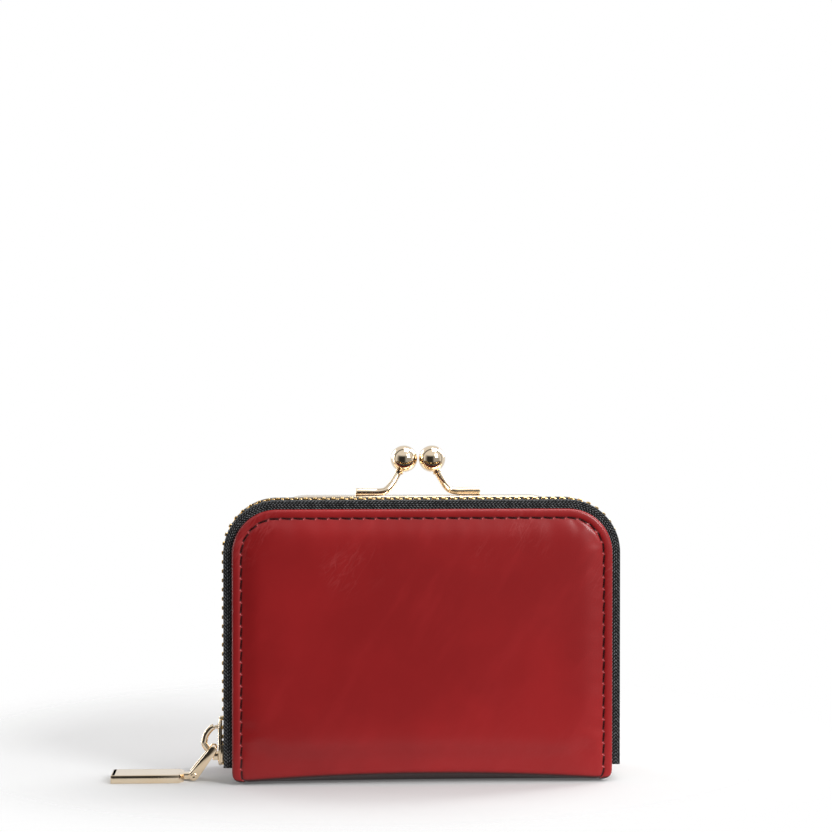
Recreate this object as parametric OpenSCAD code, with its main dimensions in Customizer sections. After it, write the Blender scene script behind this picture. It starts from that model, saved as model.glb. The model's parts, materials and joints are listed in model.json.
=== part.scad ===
// Two-compartment purse: a zip-around card case in front, a kiss-lock coin pouch behind it.
// X runs along the width, the front faces -Y, and Z is up from the flat rest face of the spine.

/* [Case] */
// Width of the leather front panel
panel_w = 115.4; // [104:0.2:124]
// Height of the front panel's top edge above the rest face
panel_h = 83.2; // [78:0.2:92]
// Radius of the panel's two upper corners
corner_r = 13.5; // [8:0.5:18]
// Depth from the front panel's face to the back cover's face
case_d = 35.4; // [35.4:0.2:40]
// Radius of the leather roll where the spine turns up into the front and the back
roll_r = 2.8; // [2.4:0.1:3.4]

/* [Sheet goods] */
// Thickness of the outer leather
leather_t = 1.2; // [0.8:0.1:1.3]
// Thickness of the stiffening board
board_t = 0.8; // [0.6:0.1:1]
// Thickness of the lining and the card pockets
lining_t = 0.4; // [0.3:0.1:0.5]
// Thickness of the woven zip tape
tape_t = 0.5; // [0.4:0.1:0.6]

/* [Zip] */
// How far the tape's outer face stands out from the panel's edge
tape_out = 2.6; // [2.4:0.1:3.2]
// Distance from the front panel's face to the middle of the chain
chain_back = 10.4; // [9.8:0.1:11]
// Width of the chain across both rows of teeth
chain_w = 6.6; // [6:0.1:7]
// Distance from one tooth to the next in a row
tooth_pitch = 2.8; // [2.6:0.1:3.2]
// Thickness of the teeth, measured away from the case
tooth_h = 1.4; // [1.2:0.1:1.6]
// Clear gap between the two rows, which the slider's post runs in
row_gap = 1.1; // [1:0.1:1.4]
// Length of the slider
slider_l = 15; // [12:0.5:17]
// Width of the slider's plates
slider_w = 8.6; // [8:0.2:10]

/* [Pull] */
// Length of the pull tag without its neck
tag_l = 22; // [15:0.5:26]
// Width of the pull tag
tag_w = 11; // [8:0.5:12]
// Thickness of the pull tag
tag_t = 2.5; // [2:0.1:2.8]
// Slope of the link below horizontal, as it rests
link_slope = 53; // [50:1:56]
// Distance between the link's two pivots
link_l = 9.8; // [9.6:0.1:10.4]

/* [Kiss-lock frame] */
// Width over the frame's arms
frame_w = 98; // [92:1:102]
// Height of the frame's top face above the rest face
frame_top = 85.8; // [84:0.2:88]
// Radius of the frame's upper corners
frame_r = 14; // [10:0.5:18]
// Height of the frame's hinge rivets above the rest face
rivet_z = 55; // [53:0.5:57]
// Thickness of each half of the frame, front to back
frame_t = 4.5; // [4.4:0.1:4.8]
// Depth of the channel's walls, measured away from the case
frame_h = 3.4; // [3.2:0.1:3.8]
// Diameter of the clasp balls
ball_d = 8.4; // [7:0.1:9]
// Height of the ball centres above the frame's top face
ball_rise = 11.5; // [11:0.1:13]
// Radius of the rods that carry the balls
rod_r = 1.2; // [1:0.1:1.3]
// Distance from the middle to the far end of a rod's straight foot
foot_end = 18.6; // [17:0.1:20]

/* [Hidden] */
$fn = 96;
clear = 0.2;                                // ordinary gap between neighbours that move

front_y = -18;
back_y = front_y + case_d;
board_y = front_y + leather_t;
flange_y = board_y + board_t;               // the front tape's sewn edge lies on the board
front_lining_y = flange_y + tape_t;
slots_y = front_lining_y + lining_t;
chain_y = front_y + chain_back;
tape_edge = chain_w / 2;                    // from the chain's middle to each tape's beaded edge
rear_flange_y = 2 * chain_y - flange_y - tape_t;
divider_y = rear_flange_y + tape_t;
wall_y = rear_flange_y - board_t;
pouch_y = divider_y + leather_t;            // front face of the coin pouch
pouch_back_y = back_y - leather_t;          // inner face of the back cover
frame_y = (pouch_y + back_y) / 2;           // plane in which the two halves of the frame meet

hinge_y = front_y + roll_r;                 // axis of the front cover's fold
hinge_z = roll_r;
floor_z = leather_t + board_t;              // top of the spine's board
cover_z = hinge_z + clear;                  // lower edge of the front cover's sheets
tape_z = 5;                                 // lower end of the tapes

chain_off = tape_out - tape_t / 2;          // the chain's middle, measured out from the panel's edge
tooth_t = 1.3;                              // thickness of a tooth along the chain
teeth_z = 7.4;                              // height of the lowest teeth
stop_h = 1.7;                               // height of the staples below them
flange_w = 6;                               // how far a tape reaches in under the panel
side_l = panel_h - corner_r - teeth_z;      // straight stretch of chain up one side
bend_l = PI / 2 * (corner_r + chain_off);
top_l = panel_w - 2 * corner_r;
chain_l = 2 * side_l + 2 * bend_l + top_l;
tooth_count = floor(chain_l / tooth_pitch);

frame_gap = 0.3;                            // between the two closed halves of the frame
front_half_y = frame_y - frame_gap / 2 - frame_t;
rear_half_y = frame_y + frame_gap / 2;
channel_w = 2.3;                            // the channel that grips the pouch's edge
channel_skin = 0.9;                         // metal left outside the channel
ear_top = rivet_z + 4.5;                    // below this the two arms lie side by side
ear_r = 4;
ear_t = 1.4;
ear_lap = 0.2;                              // how far an ear runs up into its arm
rivet_r = 1.1;
ear_out_x = frame_w / 2;
front_ear_x = ear_out_x - ear_t;
rear_ear_x = front_ear_x - clear - ear_t;
grip_w = frame_w - 2 * frame_h;             // clear width between the frame's arms
sheet_w = frame_w - 2 * channel_skin - 0.4; // width of a sheet whose edge sits in the channel
sheet_top = frame_top - channel_skin - 0.4;
pouch_w = 104;                              // width of the pouch below the frame
pouch_side_h = 35.6;                        // height of the pouch's folded sides
pouch_fold = 6;                             // how far they are folded in
corner_fold = 5;                            // how far the cloth corners above are folded in
corner_h = 18;
shoulder_z = 46;                            // where the back cover's fold begins
neck_z = 58;                                // where it ends, on the opening half
sheet_r = frame_r - 1.3;
arm_inset = 4.5;                            // a sheet's edge below the frame, in from its edge above
card_w = 98;                                // width of the card pockets
card_h = 52;                                // height of the tallest card pocket
card_step = 12;
slip_h = 58;                                // height of the slip pocket
front_sheet_y = front_half_y + (frame_t - channel_w) / 2 + 0.3;
rear_sheet_y = rear_half_y + (frame_t + channel_w) / 2 - 0.3 - leather_t;

side_x = -(panel_w / 2 + chain_off);        // the chain's middle up the left side
plate_gap = tooth_h / 2 + clear;            // from the chain's middle to a slider plate's inner face
outer_plate_t = 1.15;
inner_plate_t = 0.95;
slider_z = 4.5;
plate_x = side_x - plate_gap - outer_plate_t; // outer face of the slider
wire_r = 0.8;
bail_r = 3.1;
bail_top = 16.2;
bail_bottom = 7.8;
bail_x = plate_x - 1.1;                     // where the bail's straight feet turn into bends
link_x = plate_x - 1.5;
link_z = bail_bottom + 2 * wire_r + 0.15;
pin_x = link_x - link_l * cos(link_slope);
pin_z = link_z - link_l * sin(link_slope);
pin_r = 0.7;
leg_t = 0.9;
leg_y = 2.3;                                // from the link's middle to a leg's inner face
neck_l = 3;                                 // from the pin to the tag's shoulder

// A flat outline with two round upper corners, in X and Z
module arch(w, top, r, bottom) {
  translate([-w / 2, bottom]) square([w, top - r - bottom]);
  translate([r - w / 2, bottom]) square([w - 2 * r, top - bottom]);
  for (s = [-1, 1]) translate([s * (w / 2 - r), top - r]) intersection() {
    circle(r);
    translate([-r, 0]) square([2 * r, r]);
  }
}

// The front panel's outline, grown outwards by out
module case_outline(out, bottom) {
  arch(panel_w + 2 * out, panel_h + out, corner_r + out, bottom);
}

// The frame's outline, grown outwards by out
module frame_outline(out, bottom) {
  arch(frame_w + 2 * out, frame_top + out, frame_r + out, bottom);
}

// Stands a flat X-Z shape up as a sheet t thick, from y back
module sheet(y, t) {
  translate([0, y + t, 0]) rotate([90, 0, 0]) linear_extrude(t) children();
}

// Extrudes a flat Y-Z shape along X, centred, over a width w
module across(w) {
  translate([-w / 2, 0, 0]) rotate([90, 0, 90]) linear_extrude(w) children();
}

// A quarter of a ring in Y-Z, inner radius r - t, on the outer side of the corner at y, z
module roll_profile(y, z, t, side) {
  translate([y, z]) intersection() {
    difference() { circle(roll_r); circle(roll_r - t); }
    translate([side < 0 ? -roll_r : 0, -roll_r]) square(roll_r);
  }
}

// Place and slope of the chain at a distance s from its lower left end: [x, z, turn]
function chain_at(s) =
  s < side_l ? [-panel_w / 2 - chain_off, teeth_z + s, 0] :
  s < side_l + bend_l ? bend_at((s - side_l) / bend_l * 90, -1) :
  s < side_l + bend_l + top_l ? [corner_r - panel_w / 2 + s - side_l - bend_l, panel_h + chain_off, 90] :
  s < side_l + 2 * bend_l + top_l ? bend_at((side_l + 2 * bend_l + top_l - s) / bend_l * 90, 1) :
  [panel_w / 2 + chain_off, panel_h - corner_r - (s - side_l - 2 * bend_l - top_l), 180];

function bend_at(a, side) = [
  side * (panel_w / 2 - corner_r + (corner_r + chain_off) * cos(a)),
  panel_h - corner_r + (corner_r + chain_off) * sin(a),
  side < 0 ? a : 180 - a
];

// One row of separate metal teeth; side is -1 for the front row and 1 for the rear row
module teeth_row(side) {
  root = chain_y + side * tape_edge;
  nose = chain_y + side * row_gap / 2;
  for (i = [0 : tooth_count - 1]) {
    place = chain_at((i + (side < 0 ? 0.25 : 0.75)) * tooth_pitch);
    translate([place[0], min(root, nose), place[1]])
      rotate([0, place[2], 0])
        translate([-tooth_h / 2, 0, -tooth_t / 2])
          cube([tooth_h, tape_edge - row_gap / 2, tooth_t]);
  }
}

// A tape: its sewn flange against the panel, and the band that carries the teeth
module zip_tape(flange, band_from, band_to) {
  sheet(flange, tape_t) difference() {
    case_outline(tape_out - tape_t, tape_z);
    case_outline(-flange_w, tape_z - 1);
  }
  sheet(band_from, band_to - band_from) difference() {
    case_outline(tape_out, tape_z);
    case_outline(tape_out - tape_t, tape_z - 1);
  }
}

// Metal staples that close both ends of one row
module end_stops(side) {
  for (s = [-1, 1])
    translate([
      s * (panel_w / 2 + chain_off) - tooth_h / 2,
      side < 0 ? chain_y - tape_edge : chain_y + row_gap / 2,
      tape_z + 0.1
    ]) cube([tooth_h, tape_edge - row_gap / 2, stop_h]);
}

module base_spine() {
  color("firebrick")
    translate([-panel_w / 2, hinge_y + clear, 0])
      cube([panel_w, case_d - 2 * roll_r - clear, leather_t]);
}

module base_board() {
  color("tan")
    translate([-panel_w / 2 + 1.5, hinge_y + clear + 0.2, leather_t])
      cube([panel_w - 3, case_d - 2 * roll_r - clear - 0.4, board_t]);
}

// The leather that turns from the spine up into the front cover
module front_fold() {
  color("firebrick") across(panel_w) roll_profile(hinge_y, hinge_z, leather_t, -1);
}

// Lower half of the back: it rolls up from the spine and stands to the frame's hinge
module back_cover_lower() {
  color("firebrick") {
    across(panel_w - 2) {
      roll_profile(back_y - roll_r, hinge_z, leather_t, 1);
      translate([pouch_back_y, hinge_z]) square([leather_t, shoulder_z - hinge_z]);
    }
  }
}

// The leather between the fixed lower back and the half that opens
module back_fold() {
  color("firebrick") across(grip_w - 1)
    polygon([
      [pouch_back_y, shoulder_z], [back_y, shoulder_z],
      [rear_sheet_y + leather_t, neck_z], [rear_sheet_y, neck_z]
    ]);
}

// Leather back of the zip compartment, which carries the coin pouch
module divider_panel() {
  color("firebrick") sheet(divider_y, leather_t) case_outline(0, floor_z);
}

module divider_board() {
  color("tan") sheet(wall_y, board_t) case_outline(-6.2, floor_z);
}

module divider_lining() {
  color("dimgray") sheet(wall_y - lining_t, lining_t) case_outline(-1, floor_z);
}

module slip_pocket() {
  color("black") sheet(wall_y - 2 * lining_t, lining_t)
    translate([2 - panel_w / 2, floor_z + 3]) square([panel_w - 4, slip_h]);
}

module rear_zip_tape() {
  color("#1a1a1a") zip_tape(rear_flange_y, chain_y + tape_edge, divider_y);
}

module rear_zip_teeth() {
  color("gold") teeth_row(1);
}

module rear_end_stops() {
  color("gold") end_stops(1);
}

// A pouch wall in profile: upright, then in to the frame, then up into its channel
module pouch_wall(y, top_y, t) {
  foot = floor_z + lining_t;
  bend = hinge_z + pouch_side_h;
  throat = rivet_z - 6;
  across(pouch_w) {
    translate([y, foot]) square([t, bend - foot]);
    polygon([[y, bend], [y + t, bend], [top_y + t, throat], [top_y, throat]]);
  }
  sheet(top_y, t) {
    translate([3 - sheet_w / 2, throat]) square([sheet_w - 6, ear_top - throat + 0.5]);
    arch(sheet_w, sheet_top, sheet_r, ear_top + 0.3);
  }
}

module pouch_front() {
  color("firebrick") pouch_wall(pouch_y, front_sheet_y, leather_t - lining_t);
}

module pouch_front_lining() {
  color("black")
    pouch_wall(pouch_y + leather_t - lining_t, front_sheet_y + leather_t - lining_t, lining_t);
}

module pouch_back_lining() {
  color("black") across(pouch_w)
    translate([pouch_back_y - lining_t, hinge_z]) square([lining_t, shoulder_z - hinge_z - 4]);
}

module pouch_floor() {
  color("black") translate([-pouch_w / 2, pouch_y, floor_z])
    cube([pouch_w, pouch_back_y - pouch_y - 0.8, lining_t]);
}

// A side of the pouch, folded inwards along its middle
module gusset(side) {
  front = pouch_y + leather_t;
  back = pouch_back_y - lining_t;
  middle = (front + back) / 2;
  outer = pouch_w / 2;
  fold = outer - pouch_fold;
  wall = 0.9;
  translate([0, 0, hinge_z]) linear_extrude(pouch_side_h) polygon([
    [side * outer, front], [side * outer, front + 0.5], [side * (fold + wall), middle],
    [side * outer, back - 0.5], [side * outer, back], [side * (outer - wall), back],
    [side * fold, middle], [side * (outer - wall), front]
  ]);
}

module left_gusset() {
  color("firebrick") gusset(-1);
}

module right_gusset() {
  color("firebrick") gusset(1);
}

// The soft corners between the two halves of the frame, folded inwards
module upper_gussets() {
  front = front_sheet_y + leather_t;
  back = rear_sheet_y - lining_t;
  middle = (front + back) / 2;
  outer = grip_w / 2 - 3;
  color("black") for (s = [-1, 1])
    translate([0, 0, ear_top + 1]) linear_extrude(corner_h) polygon([
      [s * outer, front], [s * (outer - corner_fold), middle], [s * outer, back],
      [s * (outer - 0.5), back], [s * (outer - corner_fold - 0.6), middle], [s * (outer - 0.5), front]
    ]);
}

// One half of the frame above its ears: a bent channel, open towards the pouch
module frame_half(y) {
  difference() {
    sheet(y, frame_t) difference() {
      frame_outline(0, ear_top);
      frame_outline(-frame_h, ear_top - 1);
    }
    sheet(y + (frame_t - channel_w) / 2, channel_w) difference() {
      frame_outline(-channel_skin, ear_top - 1);
      frame_outline(-frame_h - 1, ear_top - 2);
    }
  }
}

// The flat ear at an arm's foot, with its hole, from x inwards to x + ear_t
module ear(x, arm_y, hole_r) {
  translate([x, 0, 0]) difference() {
    union() {
      translate([0, frame_y, rivet_z]) rotate([0, 90, 0]) cylinder(h = ear_t, r = ear_r);
      translate([0, min(arm_y, frame_y), rivet_z])
        cube([ear_t, abs(arm_y - frame_y), ear_top - rivet_z + ear_lap]);
    }
    translate([-1, frame_y, rivet_z]) rotate([0, 90, 0]) cylinder(h = ear_t + 2, r = hole_r);
  }
}

module front_frame() {
  color("goldenrod") {
    frame_half(front_half_y);
    ear(front_ear_x, front_half_y, rivet_r);
    ear(-ear_out_x, front_half_y, rivet_r);
  }
}

module rear_frame() {
  color("goldenrod") {
    frame_half(rear_half_y);
    ear(rear_ear_x, rear_half_y + frame_t, rivet_r + 0.05);
    ear(-rear_ear_x - ear_t, rear_half_y + frame_t, rivet_r + 0.05);
  }
}

module frame_rivets() {
  head_t = 0.6;
  inner_x = rear_ear_x - 0.05 - head_t;
  color("gold") for (s = [-1, 1]) scale([s, 1, 1])
    translate([0, frame_y, rivet_z]) rotate([0, 90, 0]) {
      translate([0, 0, inner_x]) cylinder(h = ear_out_x - inner_x, r = rivet_r);
      translate([0, 0, inner_x]) cylinder(h = head_t, r = 2);
      translate([0, 0, ear_out_x]) cylinder(h = head_t, r = 2.2);
    }
}

// Centre of a clasp ball; side is -1 for the front half's and 1 for the rear half's
function ball_at(side) = [side * (ball_d / 2 + 0.2), frame_y, frame_top + ball_rise];

// The bent rod that carries a ball, soldered along the frame's top
module clasp_arm(side) {
  y = side < 0 ? front_half_y + frame_t / 2 : rear_half_y + frame_t / 2;
  z = frame_top + rod_r;
  ball = ball_at(side);
  stops = [
    [side * foot_end, y, z, rod_r], [side * 12, y, z, rod_r], [side * 9.6, y, z + 0.7, rod_r],
    [side * 7.9, (2 * y + frame_y) / 3, z + 2.7, rod_r * 0.95],
    [ball[0] + side * 1.3, frame_y, ball[2] - 3.4, rod_r * 0.85]
  ];
  difference() {
    for (i = [0 : len(stops) - 2]) hull() for (k = [i, i + 1])
      translate([stops[k][0], stops[k][1], stops[k][2]]) sphere(stops[k][3], $fn = 24);
    translate(ball) sphere(ball_d / 2);
    translate([-30, y - 5, frame_top - 5]) cube([60, 10, 5]);
  }
}

module clasp_ball(side) {
  translate(ball_at(side)) sphere(ball_d / 2);
}

module front_clasp_arm() {
  color("goldenrod") clasp_arm(-1);
}

module front_clasp_ball() {
  color("gold") clasp_ball(-1);
}

module rear_clasp_arm() {
  color("goldenrod") clasp_arm(1);
}

module rear_clasp_ball() {
  color("gold") clasp_ball(1);
}

module front_cover_panel() {
  color("firebrick") sheet(front_y, leather_t) case_outline(0, cover_z);
}

module front_cover_board() {
  color("tan") sheet(board_y, board_t) case_outline(-1.5, cover_z + 0.6);
}

module front_cover_lining() {
  color("dimgray") sheet(front_lining_y, lining_t) case_outline(-0.5, cover_z + 0.6);
}

// One of the stepped card pockets on the inside of the cover, counted from the tallest
module card_slot(step) {
  sheet(slots_y + step * lining_t, lining_t)
    translate([-card_w / 2, tape_z + 2]) square([card_w, card_h - step * card_step]);
}

module card_slot_high() {
  color("black") card_slot(0);
}

module card_slot_middle() {
  color("black") card_slot(1);
}

module card_slot_low() {
  color("black") card_slot(2);
}

module front_zip_tape() {
  color("#1a1a1a") zip_tape(flange_y, flange_y, chain_y - tape_edge);
}

module front_zip_teeth() {
  color("gold") teeth_row(-1);
}

module front_end_stops() {
  color("gold") end_stops(-1);
}

// A sheet gripped by the frame half that opens, narrower where it passes the ears
module upper_sheet(y, t) {
  sheet(y, t) {
    translate([arm_inset - sheet_w / 2, neck_z])
      square([sheet_w - 2 * arm_inset, ear_top - neck_z + 0.5]);
    arch(sheet_w, sheet_top, sheet_r, ear_top + 0.3);
  }
}

module back_cover_upper() {
  color("firebrick") upper_sheet(rear_sheet_y, leather_t);
}

module pouch_upper_lining() {
  color("black") upper_sheet(rear_sheet_y - lining_t, lining_t);
}

// Two plates joined by the post that parts the rows
module slider_body() {
  post_w = row_gap - 0.3;
  color("gold") {
    translate([plate_x, chain_y - slider_w / 2, slider_z])
      cube([outer_plate_t, slider_w, slider_l]);
    translate([side_x + plate_gap, chain_y - slider_w / 2, slider_z])
      cube([inner_plate_t, slider_w, slider_l]);
    translate([side_x - plate_gap - 0.1, chain_y - post_w / 2, slider_z])
      cube([2 * plate_gap + 0.2, post_w, 4]);
  }
}

// The wire arch along the slider's back that the pull hangs on
module slider_bail() {
  foot_l = plate_x - bail_x;
  color("gold") translate([0, chain_y, 0]) {
    for (z = [bail_bottom, bail_top])
      translate([bail_x, 0, z]) rotate([0, 90, 0]) cylinder(h = foot_l, r = wire_r);
    translate([bail_x - bail_r, 0, bail_bottom + bail_r])
      cylinder(h = bail_top - bail_bottom - 2 * bail_r, r = wire_r);
    translate([bail_x, 0, bail_top - bail_r]) rotate([90, 0, 0]) rotate([0, 0, 90])
      rotate_extrude(angle = 90) translate([bail_r, 0]) circle(wire_r);
    translate([bail_x, 0, bail_bottom + bail_r]) rotate([90, 0, 0]) rotate([0, 0, 180])
      rotate_extrude(angle = 90) translate([bail_r, 0]) circle(wire_r);
  }
}

// Two legs joined by the bar that runs through the bail, with an eye at each foot
module pull_link() {
  color("gold") {
    for (s = [-1, 1]) difference() {
      translate([0, chain_y + s * (leg_y + leg_t / 2) + leg_t / 2, 0]) rotate([90, 0, 0])
        linear_extrude(leg_t) union() {
          translate([link_x, link_z]) circle(1.2);
          translate([pin_x, pin_z]) circle(1.5);
          translate([link_x, link_z]) rotate(180 + link_slope)
            polygon([[0, -1.2], [link_l, -1.5], [link_l, 1.5], [0, 1.2]]);
        }
      translate([pin_x, chain_y + s * 10, pin_z]) rotate([s * 90, 0, 0])
        cylinder(h = 20, r = pin_r);
    }
    translate([link_x, chain_y + leg_y + 0.1, link_z]) rotate([90, 0, 0])
      cylinder(h = 2 * leg_y + 0.2, r = wire_r);
  }
}

// The flat tag, with the neck that the pin passes through
module pull_tag() {
  neck_w = 2 * leg_y - 0.4;
  body_x = pin_x - neck_l;
  color("gold") difference() {
    union() {
      translate([body_x - tag_l, chain_y - tag_w / 2, 0]) cube([tag_l, tag_w, tag_t]);
      translate([body_x - 0.5, chain_y - neck_w / 2, 0.35]) cube([neck_l + 0.5, neck_w, tag_t - 0.35]);
      translate([pin_x, chain_y + neck_w / 2, pin_z]) rotate([90, 0, 0])
        cylinder(h = neck_w, r = 1.35);
    }
    translate([pin_x, chain_y + 10, pin_z]) rotate([90, 0, 0]) cylinder(h = 20, r = pin_r + 0.05);
  }
}

module pull_pin() {
  half = leg_y + leg_t + 0.3;
  color("goldenrod") translate([pin_x, chain_y + half, pin_z]) rotate([90, 0, 0])
    cylinder(h = 2 * half, r = pin_r);
}

base_spine();
base_board();
front_fold();
back_cover_lower();
back_fold();
divider_panel();
divider_board();
divider_lining();
slip_pocket();
rear_zip_tape();
rear_zip_teeth();
rear_end_stops();
pouch_front();
pouch_front_lining();
pouch_back_lining();
pouch_floor();
left_gusset();
right_gusset();
upper_gussets();
front_frame();
frame_rivets();
front_clasp_arm();
front_clasp_ball();
front_cover_panel();
front_cover_board();
front_cover_lining();
card_slot_high();
card_slot_middle();
card_slot_low();
front_zip_tape();
front_zip_teeth();
front_end_stops();
rear_frame();
rear_clasp_arm();
rear_clasp_ball();
back_cover_upper();
pouch_upper_lining();
slider_body();
slider_bail();
pull_link();
pull_tag();
pull_pin();
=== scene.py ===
import json
import math

import bmesh
import bpy
from mathutils import Matrix, Vector


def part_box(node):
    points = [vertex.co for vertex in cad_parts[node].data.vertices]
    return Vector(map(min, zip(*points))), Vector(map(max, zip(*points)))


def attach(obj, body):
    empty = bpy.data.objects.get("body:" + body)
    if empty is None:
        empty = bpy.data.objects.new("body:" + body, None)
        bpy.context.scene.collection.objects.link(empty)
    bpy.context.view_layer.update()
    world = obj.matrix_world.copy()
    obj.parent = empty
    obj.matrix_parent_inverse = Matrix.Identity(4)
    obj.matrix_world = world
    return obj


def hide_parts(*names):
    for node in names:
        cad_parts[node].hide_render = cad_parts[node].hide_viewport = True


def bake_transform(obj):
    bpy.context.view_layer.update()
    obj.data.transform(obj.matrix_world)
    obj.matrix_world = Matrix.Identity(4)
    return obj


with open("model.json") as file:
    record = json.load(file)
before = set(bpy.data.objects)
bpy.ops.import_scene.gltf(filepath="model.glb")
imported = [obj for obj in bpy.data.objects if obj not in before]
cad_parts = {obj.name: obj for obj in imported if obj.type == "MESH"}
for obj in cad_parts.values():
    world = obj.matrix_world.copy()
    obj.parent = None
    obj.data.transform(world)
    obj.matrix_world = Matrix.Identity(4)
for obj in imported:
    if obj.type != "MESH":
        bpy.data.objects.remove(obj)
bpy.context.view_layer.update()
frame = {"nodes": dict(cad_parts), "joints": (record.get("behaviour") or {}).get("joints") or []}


# ---- Where the purse stands, and how it is seen
# A pale disc of card under the purse, fading out at its edge, soft lamps in large white boxes,
# and a long lens a little above the clasp.

MM = 0.001                                  # the purse is drawn in millimetres

camera = bpy.data.objects.new("camera", bpy.data.cameras.new("camera"))
camera.data.lens = 93.3
camera.data.sensor_width = 36
camera.data.clip_end = 20
camera.location = Vector((-38.8, -666.9, 124.95)) * MM
camera.rotation_euler = (math.radians(90 - 1.2), 0, math.radians(-3.23))
bpy.context.scene.collection.objects.link(camera)
bpy.context.scene.camera = camera
bpy.context.scene.view_settings.view_transform = "Standard"


class Wire:
    """One shader socket's output, which can take part in sums."""

    def __init__(self, paint, socket):
        self.paint, self.socket = paint, socket

    def __add__(self, other):
        return self.paint.sum("ADD", self, other)

    def __sub__(self, other):
        return self.paint.sum("SUBTRACT", self, other)

    def __rsub__(self, other):
        return self.paint.sum("SUBTRACT", other, self)

    def __mul__(self, other):
        return self.paint.sum("MULTIPLY", self, other)

    def __truediv__(self, other):
        return self.paint.sum("DIVIDE", self, other)

    __radd__, __rmul__ = __add__, __mul__


class Paint:
    """A finish: one Principled material, and the nodes that vary it."""

    def __init__(self, name, **constants):
        self.material = bpy.data.materials.new(name)
        self.material.use_nodes = True
        self.tree = self.material.node_tree
        self.shader = self.tree.nodes["Principled BSDF"]
        for socket, value in constants.items():
            self.shader.inputs[socket.replace("_", " ")].default_value = value

    def node(self, kind, settings=None, inputs=None, output=0):
        node = self.tree.nodes.new(kind)
        for key, value in (settings or {}).items():
            if key == "stops":
                ramp = node.color_ramp.elements
                while len(ramp) < len(value):
                    ramp.new(0.5)
                for stop, (place, colour) in zip(ramp, value):
                    stop.position, stop.color = place, (*colour, 1)
            else:
                setattr(node, key, value)
        for key, value in (inputs or {}).items():
            self.plug(node.inputs[key], value)
        return Wire(self, node.outputs[output])

    def plug(self, socket, value):
        if isinstance(value, Wire):
            self.tree.links.new(value.socket, socket)
        else:
            socket.default_value = value

    def sum(self, operation, *values):
        return self.node("ShaderNodeMath", {"operation": operation}, dict(enumerate(values)))

    def place(self, stretch=(1, 1, 1), turn=(0, 0, 0)):
        """The point on the piece, in metres, with patterns turned and then drawn out by stretch."""
        point = self.node("ShaderNodeTexCoord", output="Object")
        settings = {"vector_type": "TEXTURE"}
        return self.node("ShaderNodeMapping", settings, {0: point, "Scale": stretch, "Rotation": turn})

    def noise(self, scale, at=None, detail=3.0, rough=0.55):
        where = at or self.place()
        return self.node(
            "ShaderNodeTexNoise",
            inputs={"Vector": where, "Scale": scale, "Detail": detail, "Roughness": rough},
        )

    def between(self, low, high, value):
        """0 below low, 1 above high, and smooth between them."""
        return self.node(
            "ShaderNodeMapRange",
            {"interpolation_type": "SMOOTHSTEP"},
            {"Value": value, "From Min": low, "From Max": high},
        )

    def blend(self, mask, first, second):
        """first where mask is 0, second where it is 1: two colours."""
        colours = [c if isinstance(c, Wire) else (*c, 1) for c in (first, second)]
        return self.node(
            "ShaderNodeMix", {"data_type": "RGBA"},
            {0: mask, 6: colours[0], 7: colours[1]}, output=2,
        )

    def relief(self, height, depth, strength=1.0):
        """A bump whose full height is depth, in millimetres."""
        return self.node(
            "ShaderNodeBump",
            inputs={"Height": height, "Distance": depth * MM, "Strength": strength},
        )

    def finish(self, **sockets):
        for socket, value in sockets.items():
            self.plug(self.shader.inputs[socket.replace("_", " ")], value)
        return self


card = Paint("white_card", Roughness=0.9, Emission_Strength=0.10)
from_middle = card.node(
    "ShaderNodeVectorMath", {"operation": "DISTANCE"},
    {0: card.node("ShaderNodeTexCoord", output="Object"), 1: (-0.015, 0.06, 0)}, output=1,
)
card.finish(
    Base_Color=card.blend(card.noise(3), (0.50, 0.50, 0.50), (0.52, 0.52, 0.52)),
    Emission_Color=(1, 1, 1, 1),
    Alpha=1 - card.between(0.095, 0.17, from_middle),
)
sweep = bmesh.new()
bmesh.ops.create_circle(sweep, cap_ends=True, segments=96, radius=0.45)
sweep_mesh = bpy.data.meshes.new("floor")
sweep.to_mesh(sweep_mesh)
sweep.free()
floor = bpy.data.objects.new("floor", sweep_mesh)
floor.data.materials.append(card.material)
bpy.context.scene.collection.objects.link(floor)

class Walls(Paint):
    """The studio's walls: white where they are seen, and giving off a different light each way."""

    def __init__(self, name):
        world = bpy.data.worlds.new(name)
        world.use_nodes = True
        self.tree = world.node_tree
        self.shader = self.tree.nodes["Background"]
        self.shader.inputs["Color"].default_value = (1, 1, 1, 1)
        bpy.context.scene.world = world


# Polished metal and leather mirror bright walls beside, above and behind, and a dim room in front.
walls = Walls("studio")
way = walls.node("ShaderNodeTexCoord", output="Generated")
way_x, way_y, way_z = (walls.node("ShaderNodeSeparateXYZ", inputs={0: way}, output=i) for i in range(3))
seen = walls.node("ShaderNodeLightPath", output="Is Camera Ray")
mirrored = walls.node("ShaderNodeLightPath", output="Is Glossy Ray")
around = walls.between(-0.78, -0.20, way_y)
above = walls.between(0.30, 0.60, way_z)
gap = walls.between(0.07, 0.16, walls.sum("ABSOLUTE", way_y - 0.03)) * 0.85 + 0.15
right_front = walls.between(0.0, 0.35, way_x) * 0.35
mirror_light = walls.sum("MAXIMUM", walls.sum("MAXIMUM", around, above) * gap * 0.78, right_front) + 0.03
even_light = walls.between(-0.7, 0.5, way_z) * 0.26 + way_x * 0.20 + 0.21
unseen = mirrored * mirror_light + (1 - mirrored) * even_light
walls.finish(Strength=seen + (1 - seen) * unseen)


def lamp(name, place, target, width, height, power):
    """A softbox, facing target; the lengths are in metres."""
    data = bpy.data.lights.new(name, "AREA")
    data.shape, data.size, data.size_y, data.energy = "RECTANGLE", width, height, power
    light = bpy.data.objects.new(name, data)
    light.location = place
    light.rotation_euler = (Vector(target) - Vector(place)).to_track_quat("-Z", "Y").to_euler()
    bpy.context.scene.collection.objects.link(light)


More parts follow.
